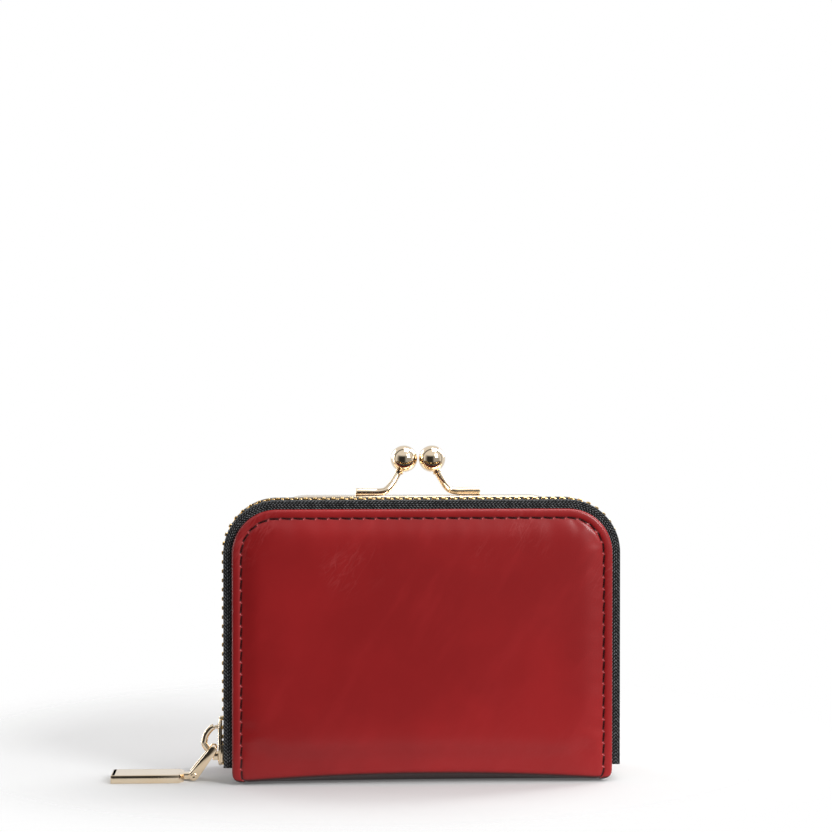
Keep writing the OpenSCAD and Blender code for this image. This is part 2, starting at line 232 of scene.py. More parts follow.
middle = (0, 0, 0.045)
lamp("left_edge_box", (-0.75, 0.22, 0.10), middle, 0.06, 0.50, 1.2)
lamp("right_box", (0.48, -0.55, 0.46), middle, 0.28, 0.40, 6.0)
lamp("right_edge_box", (0.50, 0.22, 0.60), middle, 0.12, 0.45, 2.0)
lamp("top_box", (0.18, 0.0, 0.75), middle, 0.5, 0.35, 2.6)
lamp("back_left_box", (-0.6, 0.55, 0.35), middle, 0.4, 0.5, 2.2)
lamp("back_right_box", (0.6, 0.55, 0.40), middle, 0.4, 0.5, 2.2)


# ---- Outline
# The front cover, the divider, both tapes and the frame are all cut to an arch: two upright
# sides, two round corners and a level top.


class Arch:
    """An arch, with distances along it measured from its left foot."""

    def __init__(self, half_w, top, radius, foot):
        self.half_w, self.top, self.radius, self.foot = half_w, top, radius, foot
        self.corner_x, self.corner_z = half_w - radius, top - radius
        self.side = self.corner_z - foot
        self.bend = math.pi / 2 * radius
        self.length = 2 * (self.side + self.bend + self.corner_x)

    def grown(self, out, foot=None):
        foot = self.foot if foot is None else foot
        return Arch(self.half_w + out, self.top + out, self.radius + out, foot)

    def at(self, run):
        """The point at that distance, and how far the edge has turned from upright."""
        if run > self.length / 2:
            x, z, turn = self.at(self.length - run)
            return -x, z, math.pi - turn
        if run < self.side:
            return -self.half_w, self.foot + run, 0
        if run < self.side + self.bend:
            turn = (run - self.side) / self.radius
            reach = self.radius * Vector((math.cos(turn), math.sin(turn)))
            return -self.corner_x - reach.x, self.corner_z + reach.y, turn
        return run - self.side - self.bend - self.corner_x, self.top, math.pi / 2

    def run(self, x, z):
        """The distance along the arch of the point on it that is nearest to x, z."""
        if x > 0:
            return self.length - self.run(-x, z)
        if z <= self.corner_z:
            return z - self.foot
        if x >= -self.corner_x:
            return self.side + self.bend + self.corner_x + x
        return self.side + math.atan2(z - self.corner_z, -self.corner_x - x) * self.radius

    def depth(self, x, z):
        """How far inside the arch x, z lies."""
        over = Vector((max(abs(x) - self.corner_x, 0), max(z - self.corner_z, 0)))
        if over.length > 0:
            return self.radius - over.length
        return self.radius + min(self.corner_x - abs(x), self.corner_z - z)


cover_low, cover_high = (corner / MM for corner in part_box("front_cover_panel"))
cover_arch = Arch(cover_high.x, cover_high.z, 13.5, cover_low.z)


# ---- Front cover and its fold
# One piece of smooth cowhide, its edge skived and turned over a board, sewn 2.8 mm in from the
# edge. It folds under at the foot and runs back as far as the middle of the spine.

RED_DARK = (0.245, 0.0058, 0.0068)
RED = (0.300, 0.0078, 0.0090)
RED_LIGHT = (0.370, 0.014, 0.016)
stitch_pitch = 3.6
stitch_in = 2.8                             # from the edge to the line of stitches


def leather(name, flexed=1.0):
    """Red cowhide: a fine grain, soft clouding, lighter streaks that are stronger towards the top, short
    creases where it has been flexed, painted a little lighter as a painted highlight, needle holes along
    the seam with painted shade along the sunk line of stitches, a painted highlight on the leather
    between the stitches, and painted shade on the faces that look down, under the purse."""
    paint = Paint(name, Specular_IOR_Level=0.25, Coat_Weight=0.25, Coat_Roughness=0.16)
    cloud = paint.noise(24, detail=4)
    streak = paint.noise(120, paint.place((1, 1, 4), (0, math.radians(30), 0)), detail=5)
    pores = paint.node(
        "ShaderNodeTexVoronoi", {"feature": "DISTANCE_TO_EDGE"},
        {"Vector": paint.place(), "Scale": 1500.0},
    )
    creases = []
    for lean, scale, wide in ((34, 170, 0.022), (52, 260, 0.03), (20, 230, 0.025)):
        ripple = paint.noise(scale, paint.place((1, 1, 5), (0, math.radians(lean), 0)), detail=3)
        creases.append(1 - paint.between(0.0, wide, paint.sum("ABSOLUTE", ripple - 0.5)))
    patch = paint.between(0.50, 0.68, paint.noise(30, detail=2))
    height_up = paint.node("ShaderNodeSeparateXYZ", inputs={0: paint.place()}, output=2)
    upper = paint.between(0.045, 0.072, height_up) * 0.85 + 0.15
    folds = (creases[0] + creases[1] * 0.7 + creases[2] * 0.6) * patch * upper * flexed

    seam = paint.node("ShaderNodeUVMap", {"uv_map": "seam"})
    u = paint.node("ShaderNodeSeparateXYZ", inputs={0: seam}, output=0)
    v = paint.node("ShaderNodeSeparateXYZ", inputs={0: seam}, output=1)
    along = (paint.sum("FRACT", u / stitch_pitch + 0.5) - 0.5) * stitch_pitch
    off_line = paint.sum("ABSOLUTE", v - stitch_in - along * 0.10)
    from_stitch = paint.sum("ABSOLUTE", along)
    on_line = 1 - paint.between(0.14, 0.40, off_line)
    # The sunk line under each stitch: it dents the relief, and is painted near-black as painted shade in the groove.
    hole_and_shade = on_line * (1 - paint.between(1.20, 1.50, from_stitch))
    # Painted highlight: the leather between the stitches, where it bulges, is painted pale pink.
    bridge_highlight = (1 - paint.between(0.10, 0.30, off_line)) * paint.between(1.50, 1.70, from_stitch)

    tone = paint.blend(paint.between(0.36, 0.70, cloud), RED_DARK, RED)
    tone = paint.blend(paint.between(0.50, 0.78, streak) * (0.25 + upper * 0.25), tone, RED_LIGHT)
    # Painted highlight: the creases are painted lighter, for the light caught on their edges.
    tone = paint.blend(folds * 0.13, tone, (0.50, 0.09, 0.09))
    tone = paint.blend(bridge_highlight * (0.15 + cloud * 0.9), tone, (0.60, 0.20, 0.21))
    # Painted shade: the sunk stitch line is painted near-black.
    tone = paint.blend(hole_and_shade * 0.92, tone, (0.014, 0.001, 0.0015))
    # Painted shade: faces that look down are painted near-black, the shade under the purse.
    facing_z = paint.node(
        "ShaderNodeSeparateXYZ", inputs={0: paint.node("ShaderNodeNewGeometry", output="Normal")},
        output=2,
    )
    tone = paint.blend(paint.between(0.25, 0.75, 0 - facing_z) * 0.93, tone, (0.012, 0.003, 0.003))
    height = paint.between(0.0, 0.16, pores) * 0.14 + streak * 0.35 - folds * 0.5 - hole_and_shade * 2.2
    return paint.finish(
        Base_Color=tone,
        Roughness=0.34 + cloud * 0.08 + streak * 0.08 + hole_and_shade * 0.3,
        Normal=paint.relief(height, 0.07, 0.6),
    )


red_leather = leather("red_cowhide")


def grow(bm, edges, move, count):
    """Extrudes edges count times, each time by the transform move, and returns the last ones."""
    for _ in range(count):
        grown = bmesh.ops.extrude_edge_only(bm, edges=edges)["geom"]
        verts = {v for v in grown if isinstance(v, bmesh.types.BMVert)}
        bmesh.ops.transform(bm, matrix=move, verts=list(verts))
        edges = [e for e in grown if isinstance(e, bmesh.types.BMEdge) and verts.issuperset(e.verts)]
    return edges


def about(point, angle, axis="Y"):
    """A turn about an axis through point."""
    return Matrix.Translation(point) @ Matrix.Rotation(angle, 4, axis) @ Matrix.Translation(-point)


def round_the_arch(bm, edges, arch, steps):
    """Carries a profile that stands at the left foot up, round, along and down to the right foot."""
    sides, bends, top = steps
    up = Vector((0, 0, arch.side / sides))
    along = Vector((2 * arch.corner_x / top, 0, 0))
    quarter = math.pi / 2 / bends
    left = Vector((-arch.corner_x, 0, arch.corner_z))
    right = Vector((arch.corner_x, 0, arch.corner_z))
    edges = grow(bm, edges, Matrix.Translation(up), sides)
    edges = grow(bm, edges, about(left, quarter), bends)
    edges = grow(bm, edges, Matrix.Translation(along), top)
    edges = grow(bm, edges, about(right, quarter), bends)
    return grow(bm, edges, Matrix.Translation(-up), sides)


def line_of(bm, points, closed=False):
    verts = [bm.verts.new(p) for p in points]
    pairs = list(zip(verts, verts[1:])) + ([(verts[-1], verts[0])] if closed else [])
    return [bm.edges.new(pair) for pair in pairs]


def facing(bm, direction):
    """Turns an open sheet's faces to one side."""
    bmesh.ops.recalc_face_normals(bm, faces=bm.faces)
    if sum((f.normal.dot(direction) * f.calc_area() for f in bm.faces)) < 0:
        bmesh.ops.reverse_faces(bm, faces=bm.faces)


def arched_sheet(arch, rim, steps):
    """A sheet that fills an arch: its rim, from the edge in to the corners' centres, is carried
    round, and a grid closes the middle. rim gives distance in from the edge, and depth in Y."""
    bm = bmesh.new()
    start = line_of(bm, [(inset - arch.half_w, deep, arch.foot) for inset, deep in rim])
    round_the_arch(bm, start, arch, steps)
    core = bmesh.ops.create_grid(bm, x_segments=steps[2], y_segments=steps[0], size=1)["verts"]
    for v in core:
        x = v.co.x * arch.corner_x
        v.co = (x, rim[-1][1], arch.foot + (v.co.y + 1) / 2 * arch.side)
    bmesh.ops.remove_doubles(bm, verts=bm.verts, dist=0.01)
    return bm


def turned_rim(crown):
    """Section of a turned and sewn edge: distance in from the edge, and depth behind the face."""
    turned = [(0.45, 1.7), (0.12, 1.5), (0.0, 1.1), (0.06, 0.7), (0.25, 0.35), (0.55, 0.12)]
    flat = [(0.95, 0.02), (1.5, -0.03), (2.0, -0.03), (2.4, 0.08)]
    sewn = [(2.62, 0.22), (2.8, 0.32), (2.98, 0.22)]
    puffed = [(3.3, 0.02), (3.9, -0.12), (5.2, -0.22), (7.5, -0.30), (10.2, -0.36), (13.5, -0.40)]
    return turned + flat + sewn + [(inset, deep * crown if inset > 3 else deep) for inset, deep in puffed]


def seam_map(bm, arch):
    """Writes how far along and how far in from the edge each point lies, for the stitch holes."""
    layer = bm.loops.layers.uv.new("seam")
    sewn = arch.grown(-stitch_in)
    for face in bm.faces:
        for loop in face.loops:
            x, _, z = loop.vert.co
            loop[layer].uv = (sewn.run(x, z), arch.depth(x, z))


def made(name, bm, paint, body=None, replaces=(), crisp=35):
    """Turns a drawing in millimetres into a piece in metres, with its finish."""
    bmesh.ops.scale(bm, vec=(MM, MM, MM), verts=bm.verts)
    mesh = bpy.data.meshes.new(name)
    bm.to_mesh(mesh)
    bm.free()
    mesh.materials.append(paint.material)
    mesh.shade_smooth()
    mesh.set_sharp_from_angle(angle=math.radians(crisp))
    piece = bpy.data.objects.new(name, mesh)
    bpy.context.scene.collection.objects.link(piece)
    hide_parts(*replaces)
    if body:
        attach(piece, body)
    return piece


def thicken(piece, thickness, soften=1):
    """Gives a sheet its thickness, inwards from its face, and rounds its shape."""
    wall = piece.modifiers.new("thickness", "SOLIDIFY")
    wall.thickness, wall.offset, wall.use_even_offset = thickness * MM, -1, True
    if soften:
        smooth = piece.modifiers.new("rounding", "SUBSURF")
        smooth.levels = smooth.render_levels = soften
    return piece


spine_low = Vector(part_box("base_spine")[0]) / MM
spine_high = Vector(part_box("base_spine")[1]) / MM
front_y = cover_low.y
spine_middle = (front_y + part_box("back_cover_lower")[1].y / MM) / 2
fold_r = 1.6                                # how sharply the leather turns under
fold_start = 6.0                            # height at which the foot of the cover is shaped from
fold_lift = 2.8                             # how far the middle of the front edge stands off the table
rest_y = -12.0                              # where the underside comes down to the table


def lift_at(x):
    return 0.6 + (fold_lift - 0.6) * (1 - (x / cover_arch.half_w) ** 2)


def corner_pull(height):
    """How far the cover's lower corners are drawn in, at a height above its lower edge."""
    down = min(max(1 - height / 3.6, 0), 1)
    return 1.8 * (1 - math.sqrt(1 - down ** 2))


def fold_under(co):
    """Bends the flat hide, laid out in X and Z, round the foot of the cover and under the spine."""
    x, deep, z = co.x, co.y - front_y, co.z
    lift = lift_at(x)
    inset = cover_arch.half_w - abs(x)
    pull = corner_pull(z - lift) * max(1 - inset / cover_arch.radius, 0)
    co.x -= math.copysign(pull, x)
    below = lift + fold_r - z
    if below <= 0:
        return
    slope = math.atan2(lift, rest_y - front_y)
    turn = math.pi / 2 - slope
    deep *= 1 - 0.45 * min(below / fold_r, 1)
    centre_y, centre_z = front_y + fold_r, lift + fold_r
    angle = min(below / fold_r, turn)
    past = max(below - turn * fold_r, 0)
    y = centre_y - (fold_r - deep) * math.cos(angle) + past * math.cos(slope)
    z = centre_z - (fold_r - deep) * math.sin(angle) - past * math.sin(slope)
    co.y, co.z = y, max(z, max(deep, 0))


def panel_crown(x, z):
    """How far the padding lifts the middle of the panel."""
    across = max(1 - (x / 54) ** 2, 0)
    up = max(1 - ((z - 40) / 43) ** 2, 0)
    return 0.45 * across * up


def press_out(bm, sewn_down, most):
    """Lets padding press a sewn sheet out, as cloth, and caps how far it moves. The sheet is ten
    times as large while it is simulated, because cloth this small is stiff."""
    enlarge = 0.01
    mesh = bpy.data.meshes.new("pressed")
    bm.to_mesh(mesh)
    mesh.transform(Matrix.Scale(enlarge, 4))
    sheet = bpy.data.objects.new("pressed", mesh)
    bpy.context.scene.collection.objects.link(sheet)
    held = sheet.vertex_groups.new(name="held")
    held.add([i for i, v in enumerate(bm.verts) if sewn_down(v.co)], 1.0, "REPLACE")
    cloth = sheet.modifiers.new("padding", "CLOTH")
    cloth.settings.vertex_group_mass = "held"
    cloth.settings.mass = 0.05
    cloth.settings.tension_stiffness = cloth.settings.compression_stiffness = 12
    cloth.settings.shear_stiffness = 6
    cloth.settings.bending_stiffness = 0.6
    cloth.settings.use_pressure = True
    cloth.settings.uniform_pressure_force = 4
    cloth.settings.shrink_min = -0.006
    cloth.settings.effector_weights.gravity = 0
    for step in range(1, 21):
        bpy.context.scene.frame_set(step)
    posed = sheet.evaluated_get(bpy.context.evaluated_depsgraph_get()).data
    for v, after in zip(bm.verts, posed.vertices):
        move = after.co / enlarge - v.co
        if move.length > most:
            move *= most / move.length
        v.co += move
    bpy.context.scene.frame_set(1)
    bpy.data.objects.remove(sheet)
    bpy.data.meshes.remove(mesh)


def front_hide():
    arch = cover_arch.grown(0, fold_start)
    bm = arched_sheet(arch, turned_rim(1.0), (24, 14, 32))
    bmesh.ops.translate(bm, vec=(0, front_y, 0), verts=bm.verts)
    facing(bm, Vector((0, -1, 0)))
    for v in bm.verts:
        if arch.depth(v.co.x, v.co.z) > stitch_in + 0.3:
            v.co.y -= 0.4 * panel_crown(v.co.x, v.co.z)
    press_out(bm, lambda co: arch.depth(co.x, co.z) < stitch_in + 0.25 or co.z < fold_start + 4, 0.8)
    foot = [e for e in bm.edges if e.is_boundary and all(v.co.z < fold_start + 0.01 for v in e.verts)]
    foot = grow(bm, foot, Matrix.Translation((0, 0, -0.45)), 16)
    grow(bm, foot, Matrix.Translation((0, 0, -1.55)), 11)
    seam_map(bm, cover_arch)
    for v in bm.verts:
        fold_under(v.co)
    facing(bm, Vector((0, -1, 0)))
    return bm


front_skin = made(
    "front_cover_leather", front_hide(), red_leather,
    replaces=["front_cover_panel", "front_fold"],
)
thicken(front_skin, 0.5)
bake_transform(front_skin)


# ---- Stitching of the cover
# Waxed red thread, 3.6 mm a stitch. Each stitch sinks at both ends where the needle went through
# and leans a little, as saddle stitching does.

THREAD_RED = (0.075, 0.003, 0.004)


def thread():
    paint = Paint("red_thread", Roughness=0.6, Specular_IOR_Level=0.12)
    twist = paint.node(
        "ShaderNodeTexWave", {"wave_type": "BANDS", "bands_direction": "DIAGONAL"},
        {"Vector": paint.place(), "Scale": 900.0, "Distortion": 1.5},
    )
    tone = paint.blend(twist, (0.008, 0.0006, 0.0008), THREAD_RED)
    return paint.finish(Base_Color=tone, Normal=paint.relief(twist, 0.05))


red_thread = thread()


def copies(mesh_bm, places):
    """One bmesh that holds a copy of a small shape at each place."""
    shape = bpy.data.meshes.new("shape")
    mesh_bm.to_mesh(shape)
    mesh_bm.free()
    bm = bmesh.new()
    for place in places:
        bm.verts.ensure_lookup_table()
        count = len(bm.verts)
        bm.from_mesh(shape)
        bm.verts.ensure_lookup_table()
        bmesh.ops.transform(bm, matrix=place, verts=bm.verts[count:])
    bpy.data.meshes.remove(shape)
    return bm


def stitch():
    """One stitch, 2.7 mm long, standing along Z, with its ends bent down into the leather."""
    bm = bmesh.new()
    bmesh.ops.create_uvsphere(bm, u_segments=8, v_segments=8, radius=1)
    bmesh.ops.scale(bm, vec=(0.17, 0.17, 1.35), verts=bm.verts)
    for v in bm.verts:
        v.co.y += 0.20 * (v.co.z / 1.35) ** 2
    return bm


def sewn_places(arch, face_y, outward, start, end):
    """A place for each stitch along an arch's line of stitches, on the face that looks outward."""
    line = arch.grown(-stitch_in)
    count = int((line.length - start - end) / stitch_pitch)
    for i in range(count):
        run = (math.ceil(start / stitch_pitch) + i + 1) * stitch_pitch
        if run > line.length - end:
            break
        x, z, turn = line.at(run)
        lean = Matrix.Rotation(math.radians(6), 4, "Y")
        side = Matrix.Scale(-outward, 4, (0, 1, 0))
        yield Matrix.Translation((x, face_y, z)) @ Matrix.Rotation(turn, 4, "Y") @ lean @ side


def sew(name, places, body):
    bm = copies(stitch(), places)
    bmesh.ops.recalc_face_normals(bm, faces=bm.faces)
    return made(name, bm, red_thread, body, crisp=60)


sew(
    "front_cover_stitching",
    sewn_places(cover_arch, front_y + 0.24, -1, 2.2, 2.2), "front_cover",
)


# ---- Boards
# Grey fibre board stiffens the cover and the divider. A narrower strip lies in the spine, wrapped
# in lining cloth because it shows when the card case is open.


def fibre_board():
    paint = Paint("fibre_board", Roughness=0.85)
    fleck = paint.noise(900, detail=2)
    layer = paint.noise(140, paint.place((6, 6, 1)))
    tone = paint.blend(paint.between(0.4, 0.7, fleck), (0.16, 0.13, 0.10), (0.30, 0.25, 0.19))
    return paint.finish(Base_Color=tone, Normal=paint.relief(fleck + layer, 0.08))


def twill(name, dark, light, thread_mm, sheen):
    """Woven lining: diagonal ribs crossed by single threads, in the cloth's own UV."""
    paint = Paint(name, Roughness=0.75, Sheen_Weight=sheen, Sheen_Roughness=0.4)
    cloth = paint.node("ShaderNodeUVMap", {"uv_map": "cloth"})
    u = paint.node("ShaderNodeSeparateXYZ", inputs={0: cloth}, output=0) / thread_mm
    v = paint.node("ShaderNodeSeparateXYZ", inputs={0: cloth}, output=1) / thread_mm
    rib = paint.sum("SINE", (u + v) * (math.pi / 2))
    warp = paint.sum("SINE", u * (math.pi * 2))
    weft = paint.sum("SINE", v * (math.pi * 2))
    weave = rib * 0.35 + warp * 0.15 + weft * 0.15 + 0.5
    dust = paint.noise(220, detail=4)
    tone = paint.blend(paint.between(0.2, 0.9, weave * 0.8 + dust * 0.3), dark, light)
    return paint.finish(
        Base_Color=tone,
        Roughness=0.68 + dust * 0.2,
        Normal=paint.relief(weave, 0.06 * thread_mm / 0.3),
    )


grey_board = fibre_board()
lining_cloth = twill("black_lining", (0.008, 0.008, 0.009), (0.040, 0.039, 0.040), 0.32, 0.25)

for node in ("front_cover_board", "divider_board"):
    board = frame["nodes"][node]
    board.data.materials.clear()
    board.data.materials.append(grey_board.material)


def cloth_map(bm, flat=lambda co: (co.x, co.z)):
    """Writes the cloth's own UV, in millimetres."""
    layer = bm.loops.layers.uv.new("cloth")
    for face in bm.faces:
        for loop in face.loops:
            loop[layer].uv = flat(loop.vert.co)


def spread(columns, rows, shape):
    """A grid of cloth laid out by shape, which takes u and v from 0 to 1 and gives a point."""
    bm = bmesh.new()
    bmesh.ops.create_grid(bm, x_segments=columns, y_segments=rows, size=0.5)
    uv = bm.loops.layers.uv.new("cloth")
    flat = {v: (v.co.x + 0.5, v.co.y + 0.5) for v in bm.verts}
    for v, (a, b) in flat.items():
        v.co = shape(a, b)
    for face in bm.faces:
        for loop in face.loops:
            a, b = flat[loop.vert]
            loop[uv].uv = (a * 100, b * 80)
    return bm


def spine_lining_at(u, v):
    x = (u * 2 - 1) * 55
    y = -14.6 + v * 28.8
    under = max(lift_at(x) * (rest_y - y) / (rest_y - front_y), 0)
    return x, y, under + 1.55 + 0.12 * math.cos(math.pi * 2 * v)


spine_board = made(
    "spine_board", spread(40, 16, spine_lining_at), lining_cloth, "case", ["base_board"],
)
thicken(spine_board, 0.7)


# ---- Cover lining and card pockets
# Black twill is glued inside the cover. Three card pockets are stepped over it, each with a folded
# and sewn top edge that dips a little in the middle.

lining_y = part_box("front_cover_lining")[0].y / MM


def lining_sheet(name, arch, face_y, outward, body, replaces):
    rim = [(0.0, 0.12), (0.4, 0.0), (2.5, 0.0), (8.0, 0.0), (arch.radius, 0.0)]
    bm = arched_sheet(arch, rim, (12, 10, 16))
    bmesh.ops.scale(bm, vec=(1, -outward, 1), verts=bm.verts)
    bmesh.ops.translate(bm, vec=(0, face_y, 0), verts=bm.verts)
    facing(bm, Vector((0, outward, 0)))
    cloth_map(bm)
    return thicken(made(name, bm, lining_cloth, body, replaces), 0.36)


def cut(piece, flat):
    """Turns the size a sheet was cut to, in millimetres, into metres, and keeps nothing; piece is not used."""
    [side * MM for side in flat]


lining_high_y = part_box("front_cover_lining")[1].y / MM
cover_lining = lining_sheet(
    "front_cover_cloth", cover_arch.grown(-0.5, cover_low.z + 0.6), lining_high_y, 1, "front_cover",
    ["front_cover_lining"],
)
cut(cover_lining, (114.4, 79.1))


def pocket(name, node, outward, body, dip):
    """A card pocket: a sheet with a folded hem along its top edge."""
    low, high = (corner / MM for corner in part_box(node))
    half_w, face_y = (high.x - low.x) / 2, (high.y if outward > 0 else low.y) - outward * 0.06
    hem = 3.2
    folds = [(0, 0, hem), (0, 0, 1.0), (0.10, 0.0, 0.35), (0.24, 0.0, 0.0)]
    bm = bmesh.new()
    row = line_of(bm, [(x, 0, 0) for x in [half_w * (i / 16 - 1) for i in range(33)]])
    tall = high.z - low.z
    row = grow(bm, row, Matrix.Translation((0, 0, tall / 14)), 14)
    row = grow(bm, row, Matrix.Translation((0, outward * 0.22, -0.12)), 1)
    grow(bm, row, Matrix.Translation((0, outward * 0.02, -hem / 4)), 4)
    for v in bm.verts:
        share = v.co.x / half_w
        droop = dip * math.exp(-(share / 0.28) ** 4)
        v.co.z -= droop * min(v.co.z / tall, 1) ** 6
        v.co.y += outward * 0.10 * (1 - share ** 2) * math.sin(math.pi * min(v.co.z / tall, 1))
    bmesh.ops.translate(bm, vec=(0, face_y, low.z), verts=bm.verts)
    facing(bm, Vector((0, outward, 0)))
    cloth_map(bm)
    piece = thicken(made(name, bm, lining_cloth, body, [node]), 0.26)
    cut(piece, (2 * half_w, tall + hem))
    places = []
    for i in range(-26, 27):
        x = i * 1.8
        if abs(x) > half_w - 1.5:
            continue
        drop = dip * math.exp(-((x / half_w) / 0.28) ** 4)
        place = Matrix.Translation((x, face_y + outward * 0.26, high.z - 2.2 - drop))
        places.append(place @ Matrix.Rotation(math.pi / 2, 4, "Y") @ Matrix.Scale(0.5, 4))
    return piece, places


lining_stitches = []
for node, dip in (("card_slot_high", 1.6), ("card_slot_middle", 1.6), ("card_slot_low", 1.6)):
    piece, places = pocket(node.replace("card_slot", "card_pocket"), node, 1, "front_cover", dip)
    lining_stitches += places


def black_thread_paint():
    paint = Paint("black_thread", Roughness=0.55, Sheen_Weight=0.2)
    twist = paint.node(
        "ShaderNodeTexWave", {"wave_type": "BANDS", "bands_direction": "DIAGONAL"},
        {"Vector": paint.place(), "Scale": 1400.0, "Distortion": 1.0},
    )
    tone = paint.blend(twist, (0.012, 0.012, 0.013), (0.07, 0.07, 0.072))
    return paint.finish(Base_Color=tone, Normal=paint.relief(twist, 0.03))


black_thread = black_thread_paint()
made("card_pocket_stitching", copies(stitch(), lining_stitches), black_thread, "front_cover", crisp=60)


# ---- Zip tapes
# Black polyester twill, woven in a herringbone. A flange is sewn under the leather, the tape turns
# over the case's edge, and its corded edge carries the teeth and swells a little between them.

tape_low, tape_high = (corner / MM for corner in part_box("front_zip_tape"))
tape_out = tape_high.x - cover_arch.half_w
tape_t = 0.5
tape_arch = cover_arch.grown(0, tape_low.z)
chain_arch = cover_arch.grown(tape_out - tape_t / 2, 7.4)
tooth_pitch = 2.8


def tape_cloth():
    paint = Paint("black_zip_tape", Specular_IOR_Level=0.28)
    cloth = paint.node("ShaderNodeUVMap", {"uv_map": "cloth"})
    u = paint.node("ShaderNodeSeparateXYZ", inputs={0: cloth}, output=0)
    v = paint.node("ShaderNodeSeparateXYZ", inputs={0: cloth}, output=1)
    column = paint.sum("PINGPONG", v, 1.15)
    slant = paint.sum("FRACT", (u + column * 1.1) / 1.05)
    thread_top = paint.sum("SINE", slant * math.pi)
    ply = paint.sum("SINE", v * (math.pi * 2 / 0.575))
    weave = thread_top * 0.75 + ply * 0.25
    lint = paint.noise(900, detail=3, rough=0.7)
    glint = paint.between(0.70, 0.96, weave * 0.62 + lint * 0.62)
    tone = paint.blend(
        paint.between(0.2, 0.95, weave + lint * 0.2), (0.0010, 0.0010, 0.0012), (0.013, 0.014, 0.015)
    )
    # Painted highlight: pale grey glints are painted on the tops of the threads, which are also made less rough
    # there.
    tone = paint.blend(glint * 0.85, tone, (0.20, 0.21, 0.22))
    return paint.finish(
        Base_Color=tone, Roughness=0.75 - glint * 0.2, Normal=paint.relief(weave + lint, 0.28)
    )


black_tape = tape_cloth()


def tape(name, node, side, body):
    """side is -1 for the front tape, whose band runs back, and 1 for the rear one."""
    low, high = (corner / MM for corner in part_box(node))
    root = low.y if side < 0 else high.y          # the side that is sewn down
    inward = -side
    edge = abs(high.y - low.y)
    back = 0.0 if side < 0 else tape_t            # the rear band runs past its own flange
    under = tape_t + back
    outer, inner = tape_out, tape_out - tape_t
    section = [
        (-6.0, back), (-2.0, back), (0.9, back), (outer - 0.8, back * 0.6),
        (outer - 0.22, 0.12 + back * 0.3), (outer, 0.6), (outer + 0.02, 1.8), (outer, 3.0),
        (outer, edge - 1.5), (outer + 0.08, edge - 1.15), (outer + 0.10, edge - 0.75),
        (outer + 0.04, edge - 0.30), (outer - 0.25, edge - 0.12), (inner - 0.14, edge - 0.30),
        (inner - 0.22, edge - 0.75), (inner - 0.12, edge - 1.15), (inner, edge - 1.5), (inner, 3.0),
        (inner, 1.8), (inner, 0.4 + under), (inner - 0.25, under), (0.9, under), (-2.0, under),
        (-6.0, under),
    ]
    bm = bmesh.new()
    points = [(-tape_arch.half_w - out, root + inward * deep, tape_arch.foot) for out, deep in section]
    start = line_of(bm, points, closed=True)
    end = round_the_arch(bm, start, tape_arch, (92, 32, 126))
    bmesh.ops.edgeloop_fill(bm, edges=start)
    bmesh.ops.edgeloop_fill(bm, edges=end)
    phase = 0.25 if side < 0 else 0.75
    layer = bm.loops.layers.uv.new("cloth")
    for v in bm.verts:
        out = -tape_arch.depth(v.co.x, v.co.z)
        deep = abs(v.co.y - root)
        run = chain_arch.run(v.co.x, v.co.z)
        swell = -0.5 * math.cos(math.tau * (run / tooth_pitch - phase))
        corded = min(max((deep - (edge - 2.2)) / 1.0, 0), 1)
        if out > outer - 0.05:
            push = (0.36 * swell - 0.14) * corded
            x, z, turn = tape_arch.at(tape_arch.run(v.co.x, v.co.z))
            v.co += push * Vector((-math.cos(turn), 0, math.sin(turn)))
    for face in bm.faces:
        for loop in face.loops:
            x, y, z = loop.vert.co
            out = -tape_arch.depth(x, z)
            loop[layer].uv = (chain_arch.run(x, z), out + abs(y - root))
    bmesh.ops.recalc_face_normals(bm, faces=bm.faces)
    return made(name, bm, black_tape, body, [node], crisp=50)


tape("front_tape", "front_zip_tape", -1, "front_cover")
tape("rear_tape", "rear_zip_tape", 1, "case")


# ---- Teeth and end stops
# Number five metal teeth, pressed brass: two legs grip the corded edge and a head with a dimpled
# cup reaches across, past the middle, between two teeth of the other row.

BRASS = (0.80, 0.56, 0.24)
PALE_GOLD = (0.90, 0.75, 0.56)


def gold(name, base, shine, wear):
    paint = Paint(name, Metallic=1.0, Roughness=shine, Coat_Weight=0.35, Coat_Roughness=0.06)
    smear = paint.noise(70, detail=4)
    hairline = paint.noise(500, paint.place((1, 1, 12), (0.3, 0.5, 0.2)), detail=3)
    rich = tuple(c * f for c, f in zip(base, (0.92, 0.84, 0.72)))
    tone = paint.blend(paint.between(0.35, 0.75, smear) * wear, base, rich)
    return paint.finish(
        Base_Color=tone,
        Roughness=shine + smear * 0.05 + paint.between(0.6, 0.8, hairline) * 0.06,
        Normal=paint.relief(hairline * 0.4 + smear, 0.004),
    )


tooth_brass = gold("tooth_brass", BRASS, 0.20, 0.9)
pale_gold = gold("pale_gold_plate", PALE_GOLD, 0.07, 0.6)


